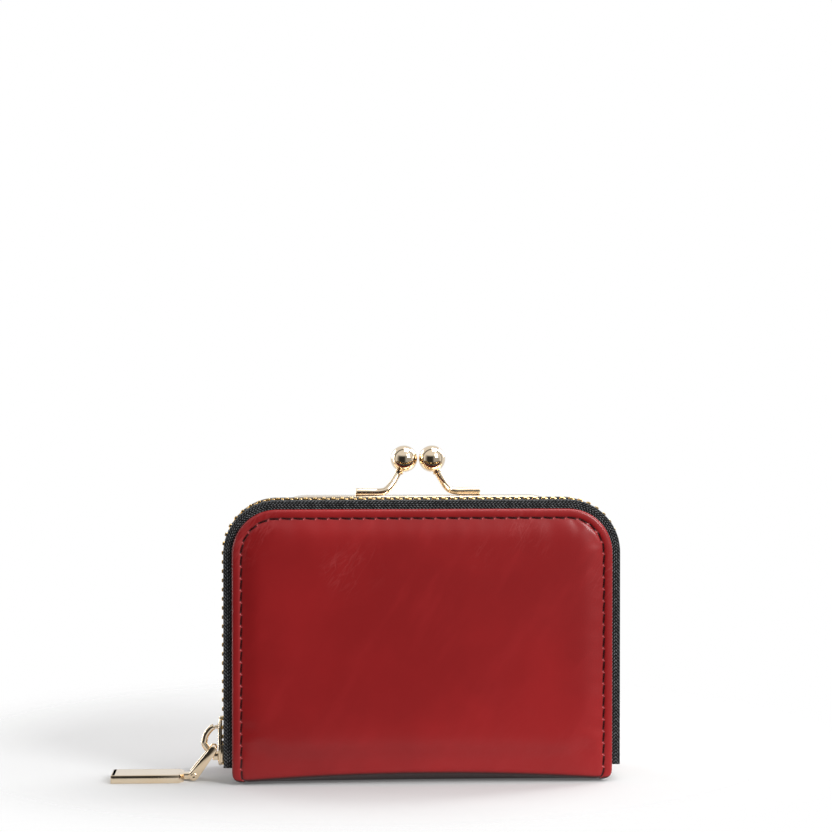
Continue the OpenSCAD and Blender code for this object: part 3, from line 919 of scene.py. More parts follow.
def tooth(under, over):
    """One tooth, its legs at Y = 0 and its head towards +Y, standing across the chain. It reaches
    under towards the case and over away from it."""
    bm = bmesh.new()
    bmesh.ops.create_cube(bm, size=1)
    bmesh.ops.scale(bm, vec=(over - under, 1.0, 1.15), verts=bm.verts)
    bmesh.ops.translate(bm, vec=(0, 0.2, 0), verts=bm.verts)
    head = [f for f in bm.faces if f.normal.y > 0.9]
    grown = bmesh.ops.extrude_face_region(bm, geom=head)["geom"]
    verts = [v for v in grown if isinstance(v, bmesh.types.BMVert)]
    bmesh.ops.translate(bm, vec=(0, 0.5, 0), verts=verts)
    bmesh.ops.scale(bm, vec=(0.74, 1, 0.80), verts=verts)
    grown = bmesh.ops.extrude_face_region(bm, geom=[f for f in grown if isinstance(f, bmesh.types.BMFace)])
    verts = [v for v in grown["geom"] if isinstance(v, bmesh.types.BMVert)]
    bmesh.ops.translate(bm, vec=(0, 1.75, 0), verts=verts)
    bmesh.ops.scale(bm, vec=(1.12, 1, 1.0), verts=verts)
    bmesh.ops.delete(bm, geom=[f for f in bm.faces if f.calc_area() < 1e-6], context="FACES")
    bmesh.ops.bevel(
        bm, geom=bm.edges[:], offset=0.20, segments=1, profile=0.5, affect="EDGES", material=-1
    )
    bmesh.ops.translate(bm, vec=(-(under + over) / 2, 0, 0), verts=bm.verts)
    cups = [f for f in bm.faces if abs(f.normal.z) > 0.95 and f.calc_center_median().y > 1.4]
    bmesh.ops.inset_individual(bm, faces=cups, thickness=0.16, depth=-0.14)
    return bm


def teeth_row(name, node, side, body, under, over):
    low, high = (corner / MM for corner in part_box(node))
    root = low.y if side < 0 else high.y
    phase = 0.25 if side < 0 else 0.75
    places = []
    for i in range(int(chain_arch.length / tooth_pitch)):
        x, z, turn = chain_arch.at((i + phase) * tooth_pitch)
        place = Matrix.Translation((x, root, z)) @ Matrix.Rotation(turn, 4, "Y")
        places.append(place @ Matrix.Scale(-side, 4, (0, 1, 0)))
    bm = copies(tooth(under, over), places)
    bmesh.ops.recalc_face_normals(bm, faces=bm.faces)
    return made(name, bm, tooth_brass, body, [node], crisp=30)


teeth_row("front_teeth", "front_zip_teeth", -1, "front_cover", -0.70, 0.84)
teeth_row("rear_teeth", "rear_zip_teeth", 1, "case", -0.68, 0.30)


def block(low, high, bevel, segments=2):
    """A box between two corners, with rounded edges."""
    bm = bmesh.new()
    bmesh.ops.create_cube(bm, size=1)
    size = Vector(high) - Vector(low)
    bmesh.ops.scale(bm, vec=size, verts=bm.verts)
    bmesh.ops.translate(bm, vec=(Vector(low) + Vector(high)) / 2, verts=bm.verts)
    bmesh.ops.bevel(
        bm, geom=bm.edges[:], offset=bevel, segments=segments, profile=0.5, affect="EDGES",
        material=-1,
    )
    return bm


def joined(*parts):
    """Several drawings in one."""
    whole = bmesh.new()
    for part in parts:
        mesh = bpy.data.meshes.new("part")
        part.to_mesh(mesh)
        part.free()
        whole.from_mesh(mesh)
        bpy.data.meshes.remove(mesh)
    return whole


def end_stops(name, node, body):
    """A staple round each end of the corded edge, with a groove along its back."""
    low, high = (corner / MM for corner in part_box(node))
    staples = []
    for side in (-1, 1):
        x = side * chain_arch.half_w
        for lower, upper in ((0.0, 0.48), (0.52, 1.0)):
            z0 = low.z + (high.z - low.z) * lower
            z1 = low.z + (high.z - low.z) * upper
            staples.append(block((x - 0.78, low.y, z0), (x + 0.78, high.y, z1), 0.2))
        staples.append(block((x - 0.6, low.y + 0.15, low.z + 0.3), (x + 0.6, high.y - 0.15, high.z - 0.3), 0.1))
    return made(name, joined(*staples), tooth_brass, body, [node], crisp=30)


end_stops("front_stops", "front_end_stops", "front_cover")
end_stops("rear_stops", "rear_end_stops", "case")


# ---- Divider
# The wall between the card case and the coin pouch: red cowhide with a turned and sewn edge on the
# pouch's side, board and black twill on the other, with a slip pocket for folded notes.

divider_low, divider_high = (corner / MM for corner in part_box("divider_panel"))
divider_arch = Arch(divider_high.x, divider_high.z, cover_arch.radius, divider_low.z)


def divider_hide():
    bm = arched_sheet(divider_arch, [(i, d * (0.62 if d > 0 else 0.4)) for i, d in turned_rim(0.3)], (24, 14, 32))
    bmesh.ops.scale(bm, vec=(1, -1, 1), verts=bm.verts)
    bmesh.ops.translate(bm, vec=(0, divider_high.y, 0), verts=bm.verts)
    seam_map(bm, divider_arch)
    facing(bm, Vector((0, 1, 0)))
    return bm


divider = made("divider_leather", divider_hide(), red_leather, "case", ["divider_panel"])
thicken(divider, 0.5)
cut(divider, (118.8, 82.9))
sew(
    "divider_stitching",
    sewn_places(divider_arch, divider_high.y - 0.20, 1, 3.5, 3.5), "case",
)
divider_lining = lining_sheet(
    "divider_cloth", divider_arch.grown(-1.0, divider_low.z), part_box("divider_lining")[0].y / MM, -1,
    "case", ["divider_lining"],
)
cut(divider_lining, (113.4, 80.2))
note_pocket, note_stitches = pocket("note_pocket", "slip_pocket", -1, "case", 0.0)
made(
    "note_pocket_stitching",
    copies(stitch(), [p @ Matrix.Scale(-1, 4, (0, 1, 0)) for p in note_stitches]), black_thread,
    "case", crisp=60,
)


# ---- Back of the purse
# A second hide runs from the middle of the spine round the lower back edge and up the back. Its
# shoulders narrow below the rivets, and its top edge is gripped by the half of the frame that opens.

back_low, back_high = (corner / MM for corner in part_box("back_cover_lower"))
upper_low, upper_high = (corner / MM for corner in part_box("back_cover_upper"))
back_y = back_high.y
back_roll = 2.8
throat_half = 45.2                          # half the hide's width where it passes the rivets
base_run = back_y - back_roll - spine_middle
roll_run = math.pi / 2 * back_roll


def ease(t):
    """0 to 1, starting and ending gently."""
    t = min(max(t, 0), 1)
    return t * t * (3 - 2 * t)


def back_half_width(z):
    """Half the width of the back hide at a height."""
    shoulder = back_high.x + (throat_half - back_high.x) * ease((z - 39) / 13)
    in_frame = ease((z - 59.6) / 1.6)
    return shoulder + (upper_high.x - throat_half) * in_frame


def back_plane(z):
    """How far back the hide's face lies at a height."""
    return back_y + (upper_high.y - back_y) * ease((z - 43) / 15.5)


def wrap_back(across, deep, run):
    """A point on the back hide: across from -1 to 1, deep below its face, run from the spine."""
    if run < base_run:
        half = 55.6 + (back_high.x - 55.6) * ease(run / base_run)
        return half, Vector((0, spine_middle + run, deep))
    if run < base_run + roll_run:
        angle = (run - base_run) / back_roll
        centre = Vector((0, back_y - back_roll, back_roll))
        reach = max(back_roll - deep, 0.2)
        return back_high.x, centre + reach * Vector((0, math.sin(angle), -math.cos(angle)))
    z = back_roll + run - base_run - roll_run
    corner = 14.0 - 1.3
    top_z = upper_high.z
    half = back_half_width(z)
    if z > top_z - corner:
        half -= corner - math.sqrt(max(corner ** 2 - (z - top_z + corner) ** 2, 0))
    return half, Vector((0, back_plane(z) - deep, z))


def back_hide():
    rim = [point for point in turned_rim(0.35) if point[0] < 13]
    rim = [(inset, deep * 0.72 if deep > 0 else deep) for inset, deep in rim]
    middle_row = [(x, rim[-1][1]) for x in range(-11, 12)]
    bm = bmesh.new()
    across = [(-1, i, d) for i, d in rim] + [(0, x / 12, d) for x, d in middle_row]
    across += [(1, i, d) for i, d in reversed(rim)]
    start = line_of(bm, [(i, 0, 0) for i in range(len(across))])
    spread_run = [0.9] * 16 + [0.55] * 8 + [1.7] * 22 + [1.1] * 30
    runs = [0.0]
    for step in spread_run:
        start = grow(bm, start, Matrix.Translation((0, 0, 1)), 1)
        runs.append(runs[-1] + step)
    total = base_run + roll_run + upper_high.z - back_roll
    runs = [r * total / runs[-1] for r in runs]
    layer = bm.loops.layers.uv.new("seam")
    placed = {v: (across[round(v.co.x)], runs[round(v.co.z)]) for v in bm.verts}
    for face in bm.faces:
        for loop in face.loops:
            (side, inset, _), run = placed[loop.vert]
            loop[layer].uv = (run, inset if side else 50)
    for v, ((side, inset, deep), run) in placed.items():
        half, spot = wrap_back(0, deep if run < total - 26 else deep * 0.3, run)
        v.co = spot
        v.co.x = side * (half - inset) if side else inset * (half - rim[-1][0])
    facing(bm, Vector((0, 1, 0)))
    return bm


back_skin = made(
    "back_leather", back_hide(), red_leather,
    replaces=["base_spine", "back_cover_lower", "back_fold", "back_cover_upper"],
)
thicken(back_skin, 0.5)
cut(back_skin, (113.4, 103))
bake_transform(back_skin)


def back_stitch_places():
    for side in (-1, 1):
        run = base_run + roll_run + 3.0
        while run < base_run + roll_run + 44:
            half, spot = wrap_back(0, 0.16, run)
            ahead_half, ahead = wrap_back(0, 0.16, run + 0.5)
            start = Vector((side * (half - stitch_in), spot.y, spot.z))
            along = Vector((side * (ahead_half - stitch_in), ahead.y, ahead.z)) - start
            turn = along.to_track_quat("Z", "Y").to_matrix().to_4x4()
            yield Matrix.Translation(start) @ turn @ Matrix.Scale(-1, 4, (0, 1, 0))
            run += stitch_pitch


back_stitches = copies(stitch(), back_stitch_places())
bmesh.ops.recalc_face_normals(back_stitches, faces=back_stitches.faces)
back_thread = made("back_stitching", back_stitches, red_thread, crisp=60)
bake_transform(back_thread)


# ---- Coin pouch
# Soft leather lined with twill. The front wall stands against the divider and leans in to the
# frame; the sides are folded inwards like a bellows and rise to the rivets.

pouch_low, pouch_high = (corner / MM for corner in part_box("pouch_front"))
frame_low, frame_high = (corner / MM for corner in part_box("front_frame"))
rear_low, rear_high = (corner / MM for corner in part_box("rear_frame"))
rivet_low, rivet_high = (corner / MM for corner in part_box("frame_rivets"))
rivet_z = (rivet_low.z + rivet_high.z) / 2
frame_y = (rivet_low.y + rivet_high.y) / 2
pouch_half = 52.0
throat_z = rivet_z - 6


def front_wall(z):
    """Y of the front wall's outer face at a height."""
    return pouch_low.y + (pouch_high.y - 0.8 - pouch_low.y) * ease((z - 37) / 12.5)


def wall_half(z):
    half = pouch_half + (throat_half - pouch_half) * ease((z - 38) / 12)
    half += (pouch_high.x * 0 + 47.7 - throat_half) * ease((z - 59.6) / 1.6)
    corner = 12.7
    if z > 84.3 - corner:
        half -= corner - math.sqrt(max(corner ** 2 - (z - 84.3 + corner) ** 2, 0))
    return half


def pouch_wall(name, node, offset, thickness, paint):
    foot = 2.6
    def shape(u, v):
        z = foot + (84.3 - foot) * v
        x = (2 * u - 1) * wall_half(z)
        slack = 0.25 * math.sin(math.pi * u) * math.sin(math.pi * min(z / 50, 1))
        return x, front_wall(z) + offset + slack * 0.3, z
    bm = spread(36, 56, shape)
    facing(bm, Vector((0, -1, 0)))
    piece = thicken(made(name, bm, paint, "case", [node]), thickness)
    cut(piece, (2 * pouch_half, 81.8))


soft_leather = leather("soft_red_cowhide", 1.5)
pouch_wall("pouch_front_leather", "pouch_front", 0.0, 0.7, soft_leather)
pouch_wall("pouch_front_cloth", "pouch_front_lining", 0.82, 0.3, lining_cloth)

back_lining_low, back_lining_high = (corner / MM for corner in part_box("pouch_back_lining"))


def back_lining_at(u, v):
    z = 3.4 + v * (back_lining_high.z - 3.4)
    return (2 * u - 1) * wall_half(z), back_lining_low.y + 0.15 + 0.1 * math.cos(9 * u) * v, z


def floor_at(u, v):
    x = (2 * u - 1) * (pouch_half - 0.6)
    y = pouch_low.y + 1.3 + v * 12.2
    return x, y, 2.45 + 0.25 * (2 * v - 1) ** 2 + 0.06 * math.sin(x * 0.35) * math.sin(math.pi * v)


def upper_lining_at(u, v):
    low, high = (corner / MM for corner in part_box("pouch_upper_lining"))
    z = low.z + v * (high.z - low.z)
    return (2 * u - 1) * (wall_half(z) - 0.2), low.y + 0.2, z


for name, node, shape, toward, body, cells, flat, held, rests_on, area in (
    ("pouch_back_cloth", "pouch_back_lining", back_lining_at, (0, -1, 0), "case", (28, 20),
     (104, 38.6), "stretched", "back_leather", None),
    ("pouch_floor_cloth", "pouch_floor", floor_at, (0, 0, 1), "case", (40, 12),
     (102.8, 12.2), "laid", "spine_board", None),
    ("pouch_upper_cloth", "pouch_upper_lining", upper_lining_at, (0, -1, 0), "opening_half", (30, 30),
     (95, 26.5), "hung", "frame_opening_half", 2430),
):
    bm = spread(*cells, shape)
    facing(bm, Vector(toward))
    piece = thicken(made(name, bm, lining_cloth, body, [node]), 0.3)
    cut(piece, flat)


def bellows(name, node, side):
    """A folded side: from the front wall in to the fold and out to the back, drawn in upwards."""
    def shape(u, v):
        z = 2.9 + v * 47.3
        lean = ease((z - 36) / 14)
        front = front_wall(z) + 1.0
        back = back_plane(z) - 1.6 - 0.2 * lean
        y = front + (back - front) * u
        deep = 6.2 * (1 - 0.75 * lean) * (0.9 + 0.1 * math.sin(z * 0.35))
        fold = 1 - abs(2 * u - 1)
        fold = fold if fold < 0.85 else 0.85 + (fold - 0.85) * 0.4
        ripple = 0.12 * math.sin(z * 0.55 + 3 * u) * math.sin(math.pi * u)
        return side * (wall_half(z) - 0.35 - deep * fold + ripple), y, z
    bm = spread(16, 36, shape)
    facing(bm, Vector((side, 0, 0)))
    piece = thicken(made(name, bm, soft_leather, "case", [node]), 0.6)
    cut(piece, (17, 48))


bellows("left_bellows", "left_gusset", -1)
bellows("right_bellows", "right_gusset", 1)


def corner_cloth(side):
    def shape(u, v):
        z = 60.2 + v * 18.5
        y = 7.85 + u * 3.55
        fold = 1 - abs(2 * u - 1)
        half = 42.4 - 5.2 * fold * (0.25 + 0.75 * math.sin(math.pi * min(v + 0.15, 1)))
        return side * (half + 0.15 * math.sin(z * 0.8) * fold), y, z
    bm = spread(12, 16, shape)
    facing(bm, Vector((side, 0, 0)))
    return bm


corners = joined(corner_cloth(-1), corner_cloth(1))
upper_corners = made("pouch_corner_cloth", corners, lining_cloth, replaces=["upper_gussets"])
thicken(upper_corners, 0.3)
cut(upper_corners, (16.6, 18.5))
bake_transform(upper_corners)


# ---- Kiss-lock frame
# Two bent channels of pale gold plated steel grip the mouth of the pouch. Flat ears at their feet
# overlap, and a rivet through each pair is the hinge.

frame_arch = Arch(frame_high.x, frame_high.z, 14.0, rivet_z + 4.5)
channel_wall = 1.1
channel_deep = 3.4


def channel(y0, y1):
    """One half of the frame, carried round as a channel that is open towards the pouch."""
    section = [
        (channel_deep, y0), (channel_deep, y0 + channel_wall), (0.9, y0 + channel_wall),
        (0.9, y1 - channel_wall), (channel_deep, y1 - channel_wall), (channel_deep, y1),
        (0, y1), (0, y0),
    ]
    bm = bmesh.new()
    corners = [bm.verts.new((inset - frame_arch.half_w, y, frame_arch.foot)) for inset, y in section]
    face = bm.faces.new(corners)
    bmesh.ops.bevel(
        bm, geom=[corners[i] for i in (0, 1, 4, 5, 6, 7)], offset=0.34, segments=3, profile=0.5,
        affect="VERTICES", material=-1,
    )
    start = bm.edges[:]
    end = round_the_arch(bm, start, frame_arch, (4, 18, 24))
    bmesh.ops.edgeloop_fill(bm, edges=end)
    bmesh.ops.recalc_face_normals(bm, faces=bm.faces)
    return bm


def ear(x0, x1, arm_y0, arm_y1):
    """A flat ear: a round end about the rivet, running up into the arm."""
    radius = 4.0
    up = frame_arch.foot + 0.35
    steps = 24
    toward = 1 if (arm_y0 + arm_y1) / 2 > frame_y else -1
    outer, inner = (arm_y1, arm_y0) if toward > 0 else (arm_y0, arm_y1)
    outline = [(outer, up), (outer, rivet_z + 3.0)]
    for i in range(steps + 1):
        angle = math.radians(8 - 215 * i / steps)
        outline.append((frame_y + toward * radius * math.cos(angle), rivet_z + radius * math.sin(angle)))
    outline += [(inner, rivet_z + 3.6), (inner, up)]
    bm = bmesh.new()
    face = bm.faces.new([bm.verts.new((x0, y, z)) for y, z in outline])
    grown = bmesh.ops.extrude_face_region(bm, geom=[face])["geom"]
    bmesh.ops.translate(bm, vec=(x1 - x0, 0, 0), verts=[v for v in grown if isinstance(v, bmesh.types.BMVert)])
    bmesh.ops.recalc_face_normals(bm, faces=bm.faces)
    rim = [e for e in bm.edges if abs(e.verts[0].co.x - e.verts[1].co.x) < 0.01]
    bmesh.ops.bevel(bm, geom=rim, offset=0.28, segments=2, profile=0.5, affect="EDGES", material=-1)
    return bm


ear_t = 1.4
front_ear_x = frame_high.x - ear_t
rear_ear_x = front_ear_x - 0.2 - ear_t
for name, node, y0, y1, ear_x, body in (
    ("frame_front_half", "front_frame", 5.05, 9.55, front_ear_x, "case"),
    ("frame_opening_half", "rear_frame", 9.85, 14.35, rear_ear_x, "opening_half"),
):
    ears = [ear(side * ear_x, side * (ear_x + ear_t), y0, y1) for side in (-1, 1)]
    made(name, joined(channel(y0, y1), *ears), pale_gold, body, [node], crisp=32)


def turned(profile, segments, move):
    """Spins a profile of radius and height about Z and puts it in place."""
    bm = bmesh.new()
    edges = line_of(bm, [(radius, 0, height) for radius, height in profile])
    bmesh.ops.spin(
        bm, geom=bm.verts[:] + edges, cent=(0, 0, 0), axis=(0, 0, 1), angle=math.tau,
        steps=segments, use_merge=True,
    )
    bmesh.ops.remove_doubles(bm, verts=bm.verts, dist=0.004)
    bmesh.ops.recalc_face_normals(bm, faces=bm.faces)
    bmesh.ops.transform(bm, matrix=move, verts=bm.verts)
    return bm


def dome(radius, height, lip, steps=6):
    """Profile of a rivet's head, from its rim to its crown."""
    points = [(radius * 0.98, 0), (radius, lip * 0.5), (radius * 0.97, lip)]
    for i in range(1, steps + 1):
        angle = math.pi / 2 * i / steps
        points.append((radius * 0.93 * math.cos(angle), lip + (height - lip) * math.sin(angle)))
    points[-1] = (0, height)
    return points


def rivets():
    parts = []
    for side in (-1, 1):
        outside = Matrix.Translation((side * frame_high.x, frame_y, rivet_z))
        outside = outside @ Matrix.Rotation(side * math.pi / 2, 4, "Y")
        shank = [(0, -3.75), (1.8, -3.75), (2.0, -3.55), (2.0, -3.3), (1.1, -3.15), (1.1, 0)]
        parts.append(turned(shank + dome(2.2, 0.62, 0.18), 28, outside))
    return joined(*parts)


made("hinge_rivets", rivets(), pale_gold, "case", ["frame_rivets"], crisp=40)


# ---- Clasp
# Two polished balls on bent rods. The rods' straight feet are soldered flat along the top of the
# frame, one on each half, and the balls snap past each other to shut the pouch.


def smooth_path(stops, per_span=6):
    """Points on a smooth line through the stops."""
    points = [Vector(p) for p in stops]
    ends = [2 * points[0] - points[1]] + points + [2 * points[-1] - points[-2]]
    line = []
    for a, b, c, d in zip(ends, ends[1:], ends[2:], ends[3:]):
        for i in range(per_span):
            t = i / per_span
            line.append(0.5 * (2 * b + (c - a) * t + (2 * a - 5 * b + 4 * c - d) * t ** 2
                               + (3 * b - 3 * c + d - a) * t ** 3))
    return line + [points[-1]]


def rod(line, radii, segments=20, flat=(1, 1)):
    """A round or flattened bar along a line, with closed ends."""
    bm = bmesh.new()
    rings = []
    for i, point in enumerate(line):
        ahead = line[min(i + 1, len(line) - 1)] - line[max(i - 1, 0)]
        turn = ahead.to_track_quat("Z", "Y").to_matrix().to_4x4()
        ring = bmesh.ops.create_circle(bm, segments=segments, radius=radii[i])["verts"]
        bmesh.ops.scale(bm, vec=(*flat, 1), verts=ring)
        bmesh.ops.transform(bm, matrix=Matrix.Translation(point) @ turn, verts=ring)
        rings.append([e for e in bm.edges if set(e.verts) <= set(ring)])
    for first, second in zip(rings, rings[1:]):
        bmesh.ops.bridge_loops(bm, edges=first + second)
    for end in (rings[0], rings[-1]):
        bmesh.ops.edgeloop_fill(bm, edges=end)
    bmesh.ops.recalc_face_normals(bm, faces=bm.faces)
    return bm


rod_r = 1.2


def clasp(side, ball_node, arm_node, body):
    low, high = (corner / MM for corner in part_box(ball_node))
    ball, ball_r = (low + high) / 2, (high.x - low.x) / 2
    arm_low, arm_high = (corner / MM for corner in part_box(arm_node))
    y = arm_low.y + rod_r if side < 0 else arm_high.y - rod_r
    z = frame_high.z + rod_r
    reach = max(abs(arm_low.x), abs(arm_high.x))
    neck = Vector((ball.x + side * 1.5, ball.y, ball.z - 3.9))
    stops = [
        (side * (reach - 0.15), y, z), (side * 16, y, z), (side * 12.4, y, z), (side * 10.2, y, z + 0.5),
        (side * 8.5, (2 * y + ball.y) / 3, z + 2.2), (side * 7.1, (y + 3 * ball.y) / 4, z + 4.4), neck,
    ]
    line = smooth_path(stops)
    ends = [line[0] - (line[1] - line[0]).normalized() * 0.14] + line
    radii = [rod_r * 0.84, rod_r] + [rod_r * (1 - 0.16 * i / len(line)) for i in range(len(line) - 1)]
    made(arm_node.replace("arm", "rod"), rod(ends, radii), pale_gold, body, [arm_node])
    turn = (ball - neck).to_track_quat("Z", "Y").to_matrix().to_4x4()
    collar = [(0, 0.93), (1.15, 0.93), (1.42, 0.73), (1.42, 0.38), (1.2, 0.18), (1.2, 0.0)]
    seat = math.sqrt(ball_r ** 2 - 1.2 ** 2)
    profile = [(radius, -seat - below) for radius, below in collar]
    first = math.atan2(-seat, 1.2)
    for i in range(1, 27):
        angle = first + (math.pi / 2 - first) * i / 26
        profile.append((ball_r * math.cos(angle), ball_r * math.sin(angle)))
    profile[-1] = (0, ball_r)
    knob = turned(profile, 48, Matrix.Translation(ball) @ turn)
    made(ball_node.replace("clasp_ball", "clasp_knob"), knob, pale_gold, body, [ball_node])


clasp(-1, "front_clasp_ball", "front_clasp_arm", "case")
clasp(1, "rear_clasp_ball", "rear_clasp_arm", "opening_half")


# ---- Zip slider
# Die-cast and plated. Two shield-shaped plates with inturned flanges run over the teeth, joined by
# a post that parts the rows, with a wire arch on the outside for the pull.

slider_low, slider_high = (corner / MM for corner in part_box("slider_body"))
chain_x = -chain_arch.half_w
chain_y = (slider_low.y + slider_high.y) / 2


def shield(x0, x1, half_w, low_z, high_z, bevel):
    """A slider plate in Y and Z: round shoulders, drawn in towards the nose at the top."""
    tall = high_z - low_z
    right = [(0.0, -0.02), (0.55, 0.0), (0.88, 0.05), (1.0, 0.16), (1.0, 0.42), (0.90, 0.62)]
    right += [(0.80, 0.82), (0.66, 0.93), (0.38, 0.99), (0.0, 1.0)]
    outline = right + [(-y, z) for y, z in reversed(right[1:-1])]
    bm = bmesh.new()
    face = bm.faces.new([bm.verts.new((x0, chain_y + y * half_w, low_z + z * tall)) for y, z in outline])
    grown = bmesh.ops.extrude_face_region(bm, geom=[face])["geom"]
    bmesh.ops.translate(bm, vec=(x1 - x0, 0, 0), verts=[v for v in grown if isinstance(v, bmesh.types.BMVert)])
    bmesh.ops.recalc_face_normals(bm, faces=bm.faces)
    rim = [e for e in bm.edges if abs(e.verts[0].co.x - e.verts[1].co.x) < 0.01]
    bmesh.ops.bevel(bm, geom=rim, offset=bevel, segments=3, profile=0.5, affect="EDGES", material=-1)
    return bm


def slider():
    half_w = (slider_high.y - slider_low.y) / 2
    z0, z1 = slider_low.z + 0.3, slider_high.z
    outer = shield(slider_low.x + 0.1, slider_low.x + 1.15, half_w, z0, z1 - 0.6, 0.34)
    inner = shield(slider_high.x - 0.95, slider_high.x, half_w - 0.1, z0, z1 - 1.2, 0.28)
    post = block((slider_low.x + 0.8, chain_y - 0.2, z0 + 0.2), (slider_high.x - 0.6, chain_y + 0.2, z0 + 3.8), 0.08)
    flanges = []
    for side in (-1, 1):
        y = chain_y + side * (half_w - 0.17)
        for x0, x1 in ((slider_low.x + 0.8, chain_x - 0.42), (chain_x + 0.42, slider_high.x - 0.5)):
            flanges.append(block((x0, y - 0.16, z0 + 1.2), (x1, y + 0.16, z0 + 6.4), 0.07))
    top = block((slider_low.x - 0.15, chain_y - 1.5, z1 - 5.2), (slider_low.x + 0.7, chain_y + 1.5, z1 - 1.9), 0.3)
    nose = block((slider_low.x + 0.2, chain_y - 1.0, z1 - 1.2), (slider_low.x + 1.5, chain_y + 1.0, z1), 0.4, 3)
    foot = block((slider_low.x - 0.1, chain_y - 1.7, z0 + 0.5), (slider_low.x + 0.7, chain_y + 1.7, z0 + 2.6), 0.3)
    return joined(outer, inner, post, top, nose, foot, *flanges)


made("zip_slider_plates", slider(), pale_gold, "zip_slider", ["slider_body"], crisp=32)

bail_low, bail_high = (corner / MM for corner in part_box("slider_bail"))
wire_r = 0.8


def bail():
    """The arch: a foot block below, a strip bent into a D, and a spur on the plate above."""
    out_x, root_x = bail_low.x + wire_r, bail_high.x
    z0, z1 = bail_low.z + wire_r, bail_high.z - wire_r
    stops = [
        (root_x + 0.3, chain_y, z0), (root_x - 1.0, chain_y, z0 + 0.05),
        (root_x - 2.6, chain_y, z0 + 0.9), (out_x, chain_y, z0 + 3.0),
        (out_x + 0.05, chain_y, (z0 + z1) / 2 + 0.3), (out_x + 0.5, chain_y, z1 - 2.3),
        (root_x - 2.3, chain_y, z1 - 0.5), (root_x - 1.3, chain_y, z1),
    ]
    line = smooth_path(stops)
    radii = [wire_r] * (len(line) - 1) + [wire_r * 0.8]
    strip = rod(line, radii, 16, (0.85, 1.2))
    foot = block((root_x - 1.7, chain_y - 1.1, bail_low.z - 0.9), (root_x + 0.25, chain_y + 1.1, bail_low.z + 1.3), 0.25, 3)
    spur = rod([Vector((root_x + 0.3, chain_y, z1)), Vector((root_x - 0.6, chain_y, z1)),
                Vector((root_x - 1.25, chain_y, z1))], [0.75, 0.6, 0.42], 14)
    return joined(strip, foot, spur)


made("slider_arch", bail(), pale_gold, "zip_slider", ["slider_bail"])


# ---- Pull
# A stirrup-shaped link hangs on the arch, and a pin through its feet holds a flat tag. The tag is
# a solid bar with bevelled edges and a plain sunk border on its face.

link_joint = next(j for j in frame["joints"] if j["name"] == "link_swing")
tag_joint = next(j for j in frame["joints"] if j["name"] == "tag_swing")
link_low, link_high = (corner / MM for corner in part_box("pull_link"))
tag_low, tag_high = (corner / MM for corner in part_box("pull_tag"))
pin_low, pin_high = (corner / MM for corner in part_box("pull_pin"))
pin = (pin_low + pin_high) / 2
eye = Vector((link_high.x - 1.2, chain_y, link_high.z - 1.2))


def leg(y0, y1):
    """One leg of the link: narrow and round at the bar, wider and round at the pin."""
    down = (pin - eye)
    long = Vector((down.x, down.z)).length
    slant = math.atan2(down.z, down.x)
    outline = []
    for i in range(13):
        angle = math.pi / 2 + math.pi * i / 12
        outline.append((1.15 * math.cos(angle), 1.15 * math.sin(angle)))
    for i in range(13):
        angle = -math.pi / 2 + math.pi * i / 12
        outline.append((long + 1.5 * math.cos(angle), 1.5 * math.sin(angle)))
    turn = Matrix.Rotation(slant, 2)
    bm = bmesh.new()
    verts = []
    for along, across in outline:
        spot = turn @ Vector((along, across))
        verts.append(bm.verts.new((eye.x + spot.x, y0, eye.z + spot.y)))
    face = bm.faces.new(verts)
    grown = bmesh.ops.extrude_face_region(bm, geom=[face])["geom"]
    bmesh.ops.translate(bm, vec=(0, y1 - y0, 0), verts=[v for v in grown if isinstance(v, bmesh.types.BMVert)])
    bmesh.ops.recalc_face_normals(bm, faces=bm.faces)
    rim = [e for e in bm.edges if abs(e.verts[0].co.y - e.verts[1].co.y) < 0.01]
    bmesh.ops.bevel(bm, geom=rim, offset=0.24, segments=2, profile=0.5, affect="EDGES", material=-1)
    return bm


def link():
    legs = [leg(chain_y + side * 2.3, chain_y + side * 3.2) for side in (-1, 1)]
    bar = rod(
        [Vector((eye.x, chain_y + y, eye.z)) for y in (-2.6, -1.6, 0, 1.6, 2.6)],
        [0.95, 0.8, 0.76, 0.8, 0.95], 18,
    )
    return joined(bar, *legs)


made("pull_stirrup", link(), pale_gold, "link", ["pull_link"], crisp=32)


def pull_pin():
    turn = Matrix.Translation(pin) @ Matrix.Rotation(math.pi / 2, 4, "X")
    half = (pin_high.y - pin_low.y) / 2
    end = [(0.7, half - 0.5), (0.95, half - 0.28), (0.95, half - 0.12), (0.8, half), (0.45, half), (0.3, half - 0.08), (0, half - 0.08)]
    other = [(radius, -height) for radius, height in reversed(end)]
    return turned(other + end, 24, turn)


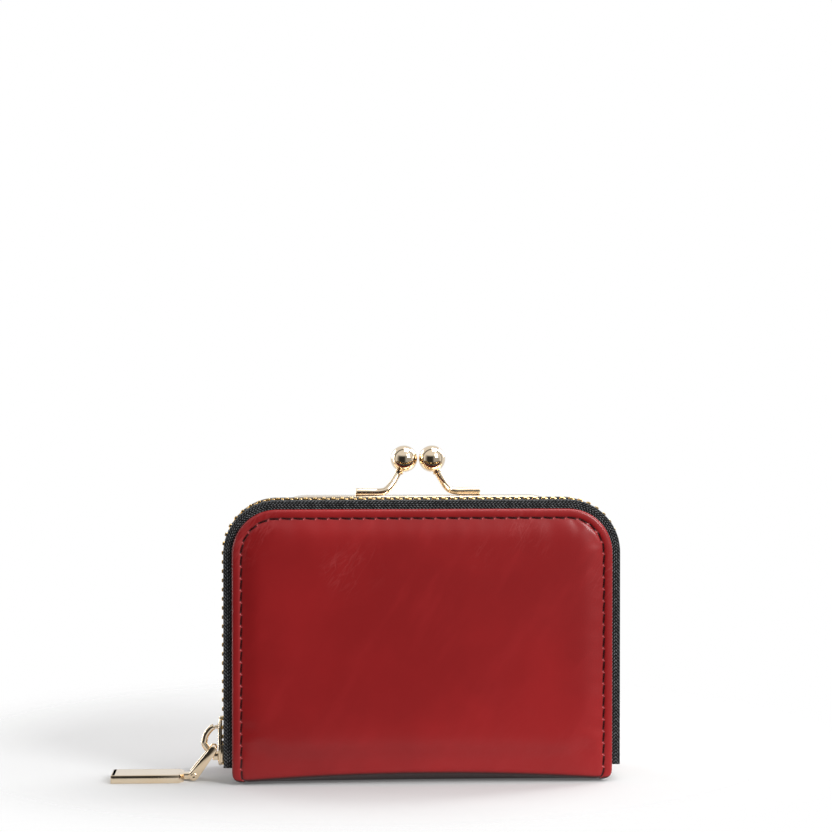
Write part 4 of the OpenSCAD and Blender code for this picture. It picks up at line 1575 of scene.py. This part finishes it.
made("pull_hinge_pin", pull_pin(), pale_gold, "link", ["pull_pin"], crisp=40)


def tag():
    """The bar, its end chamfered to a neck, with the knuckle that the pin runs through."""
    shoulder = pin.x - 3.0
    low, high = Vector(tag_low), Vector(tag_high)
    top = 2.5
    half_w = (high.y - low.y) / 2
    outline = [
        (low.x + 0.25, -half_w), (shoulder - 1.4, -half_w), (shoulder, -half_w + 2.2),
        (shoulder, half_w - 2.2), (shoulder - 1.4, half_w), (low.x + 0.25, half_w),
        (low.x, half_w - 0.25), (low.x, -half_w + 0.25),
    ]
    bm = bmesh.new()
    face = bm.faces.new([bm.verts.new((x, chain_y + y, 0)) for x, y in outline])
    grown = bmesh.ops.extrude_face_region(bm, geom=[face])["geom"]
    bmesh.ops.translate(bm, vec=(0, 0, top), verts=[v for v in grown if isinstance(v, bmesh.types.BMVert)])
    bmesh.ops.recalc_face_normals(bm, faces=bm.faces)
    bmesh.ops.bevel(bm, geom=bm.edges[:], offset=0.22, segments=2, profile=0.5, affect="EDGES", material=-1)
    upper = max(bm.faces, key=lambda f: f.calc_center_median().z * 1000 + f.calc_area())
    bmesh.ops.inset_region(bm, faces=[upper], thickness=0.9, depth=0)
    upper = max(bm.faces, key=lambda f: f.calc_center_median().z * 1000 + f.calc_area())
    bmesh.ops.inset_region(bm, faces=[upper], thickness=0.10, depth=-0.06)
    bmesh.ops.inset_region(bm, faces=[upper], thickness=0.12, depth=0)
    bmesh.ops.inset_region(bm, faces=[upper], thickness=0.10, depth=0.06)
    neck = block((shoulder - 0.6, chain_y - 2.05, 0.45), (pin.x, chain_y + 2.05, 2.35), 0.3, 3)
    turn = Matrix.Translation(pin) @ Matrix.Rotation(math.pi / 2, 4, "X")
    knuckle = turned([(0.72, -2.1), (1.2, -2.1), (1.35, -1.95), (1.35, 1.95), (1.2, 2.1), (0.72, 2.1)], 28, turn)
    return joined(bm, neck, knuckle)


made("pull_bar", tag(), pale_gold, "tag", ["pull_tag"], crisp=30)
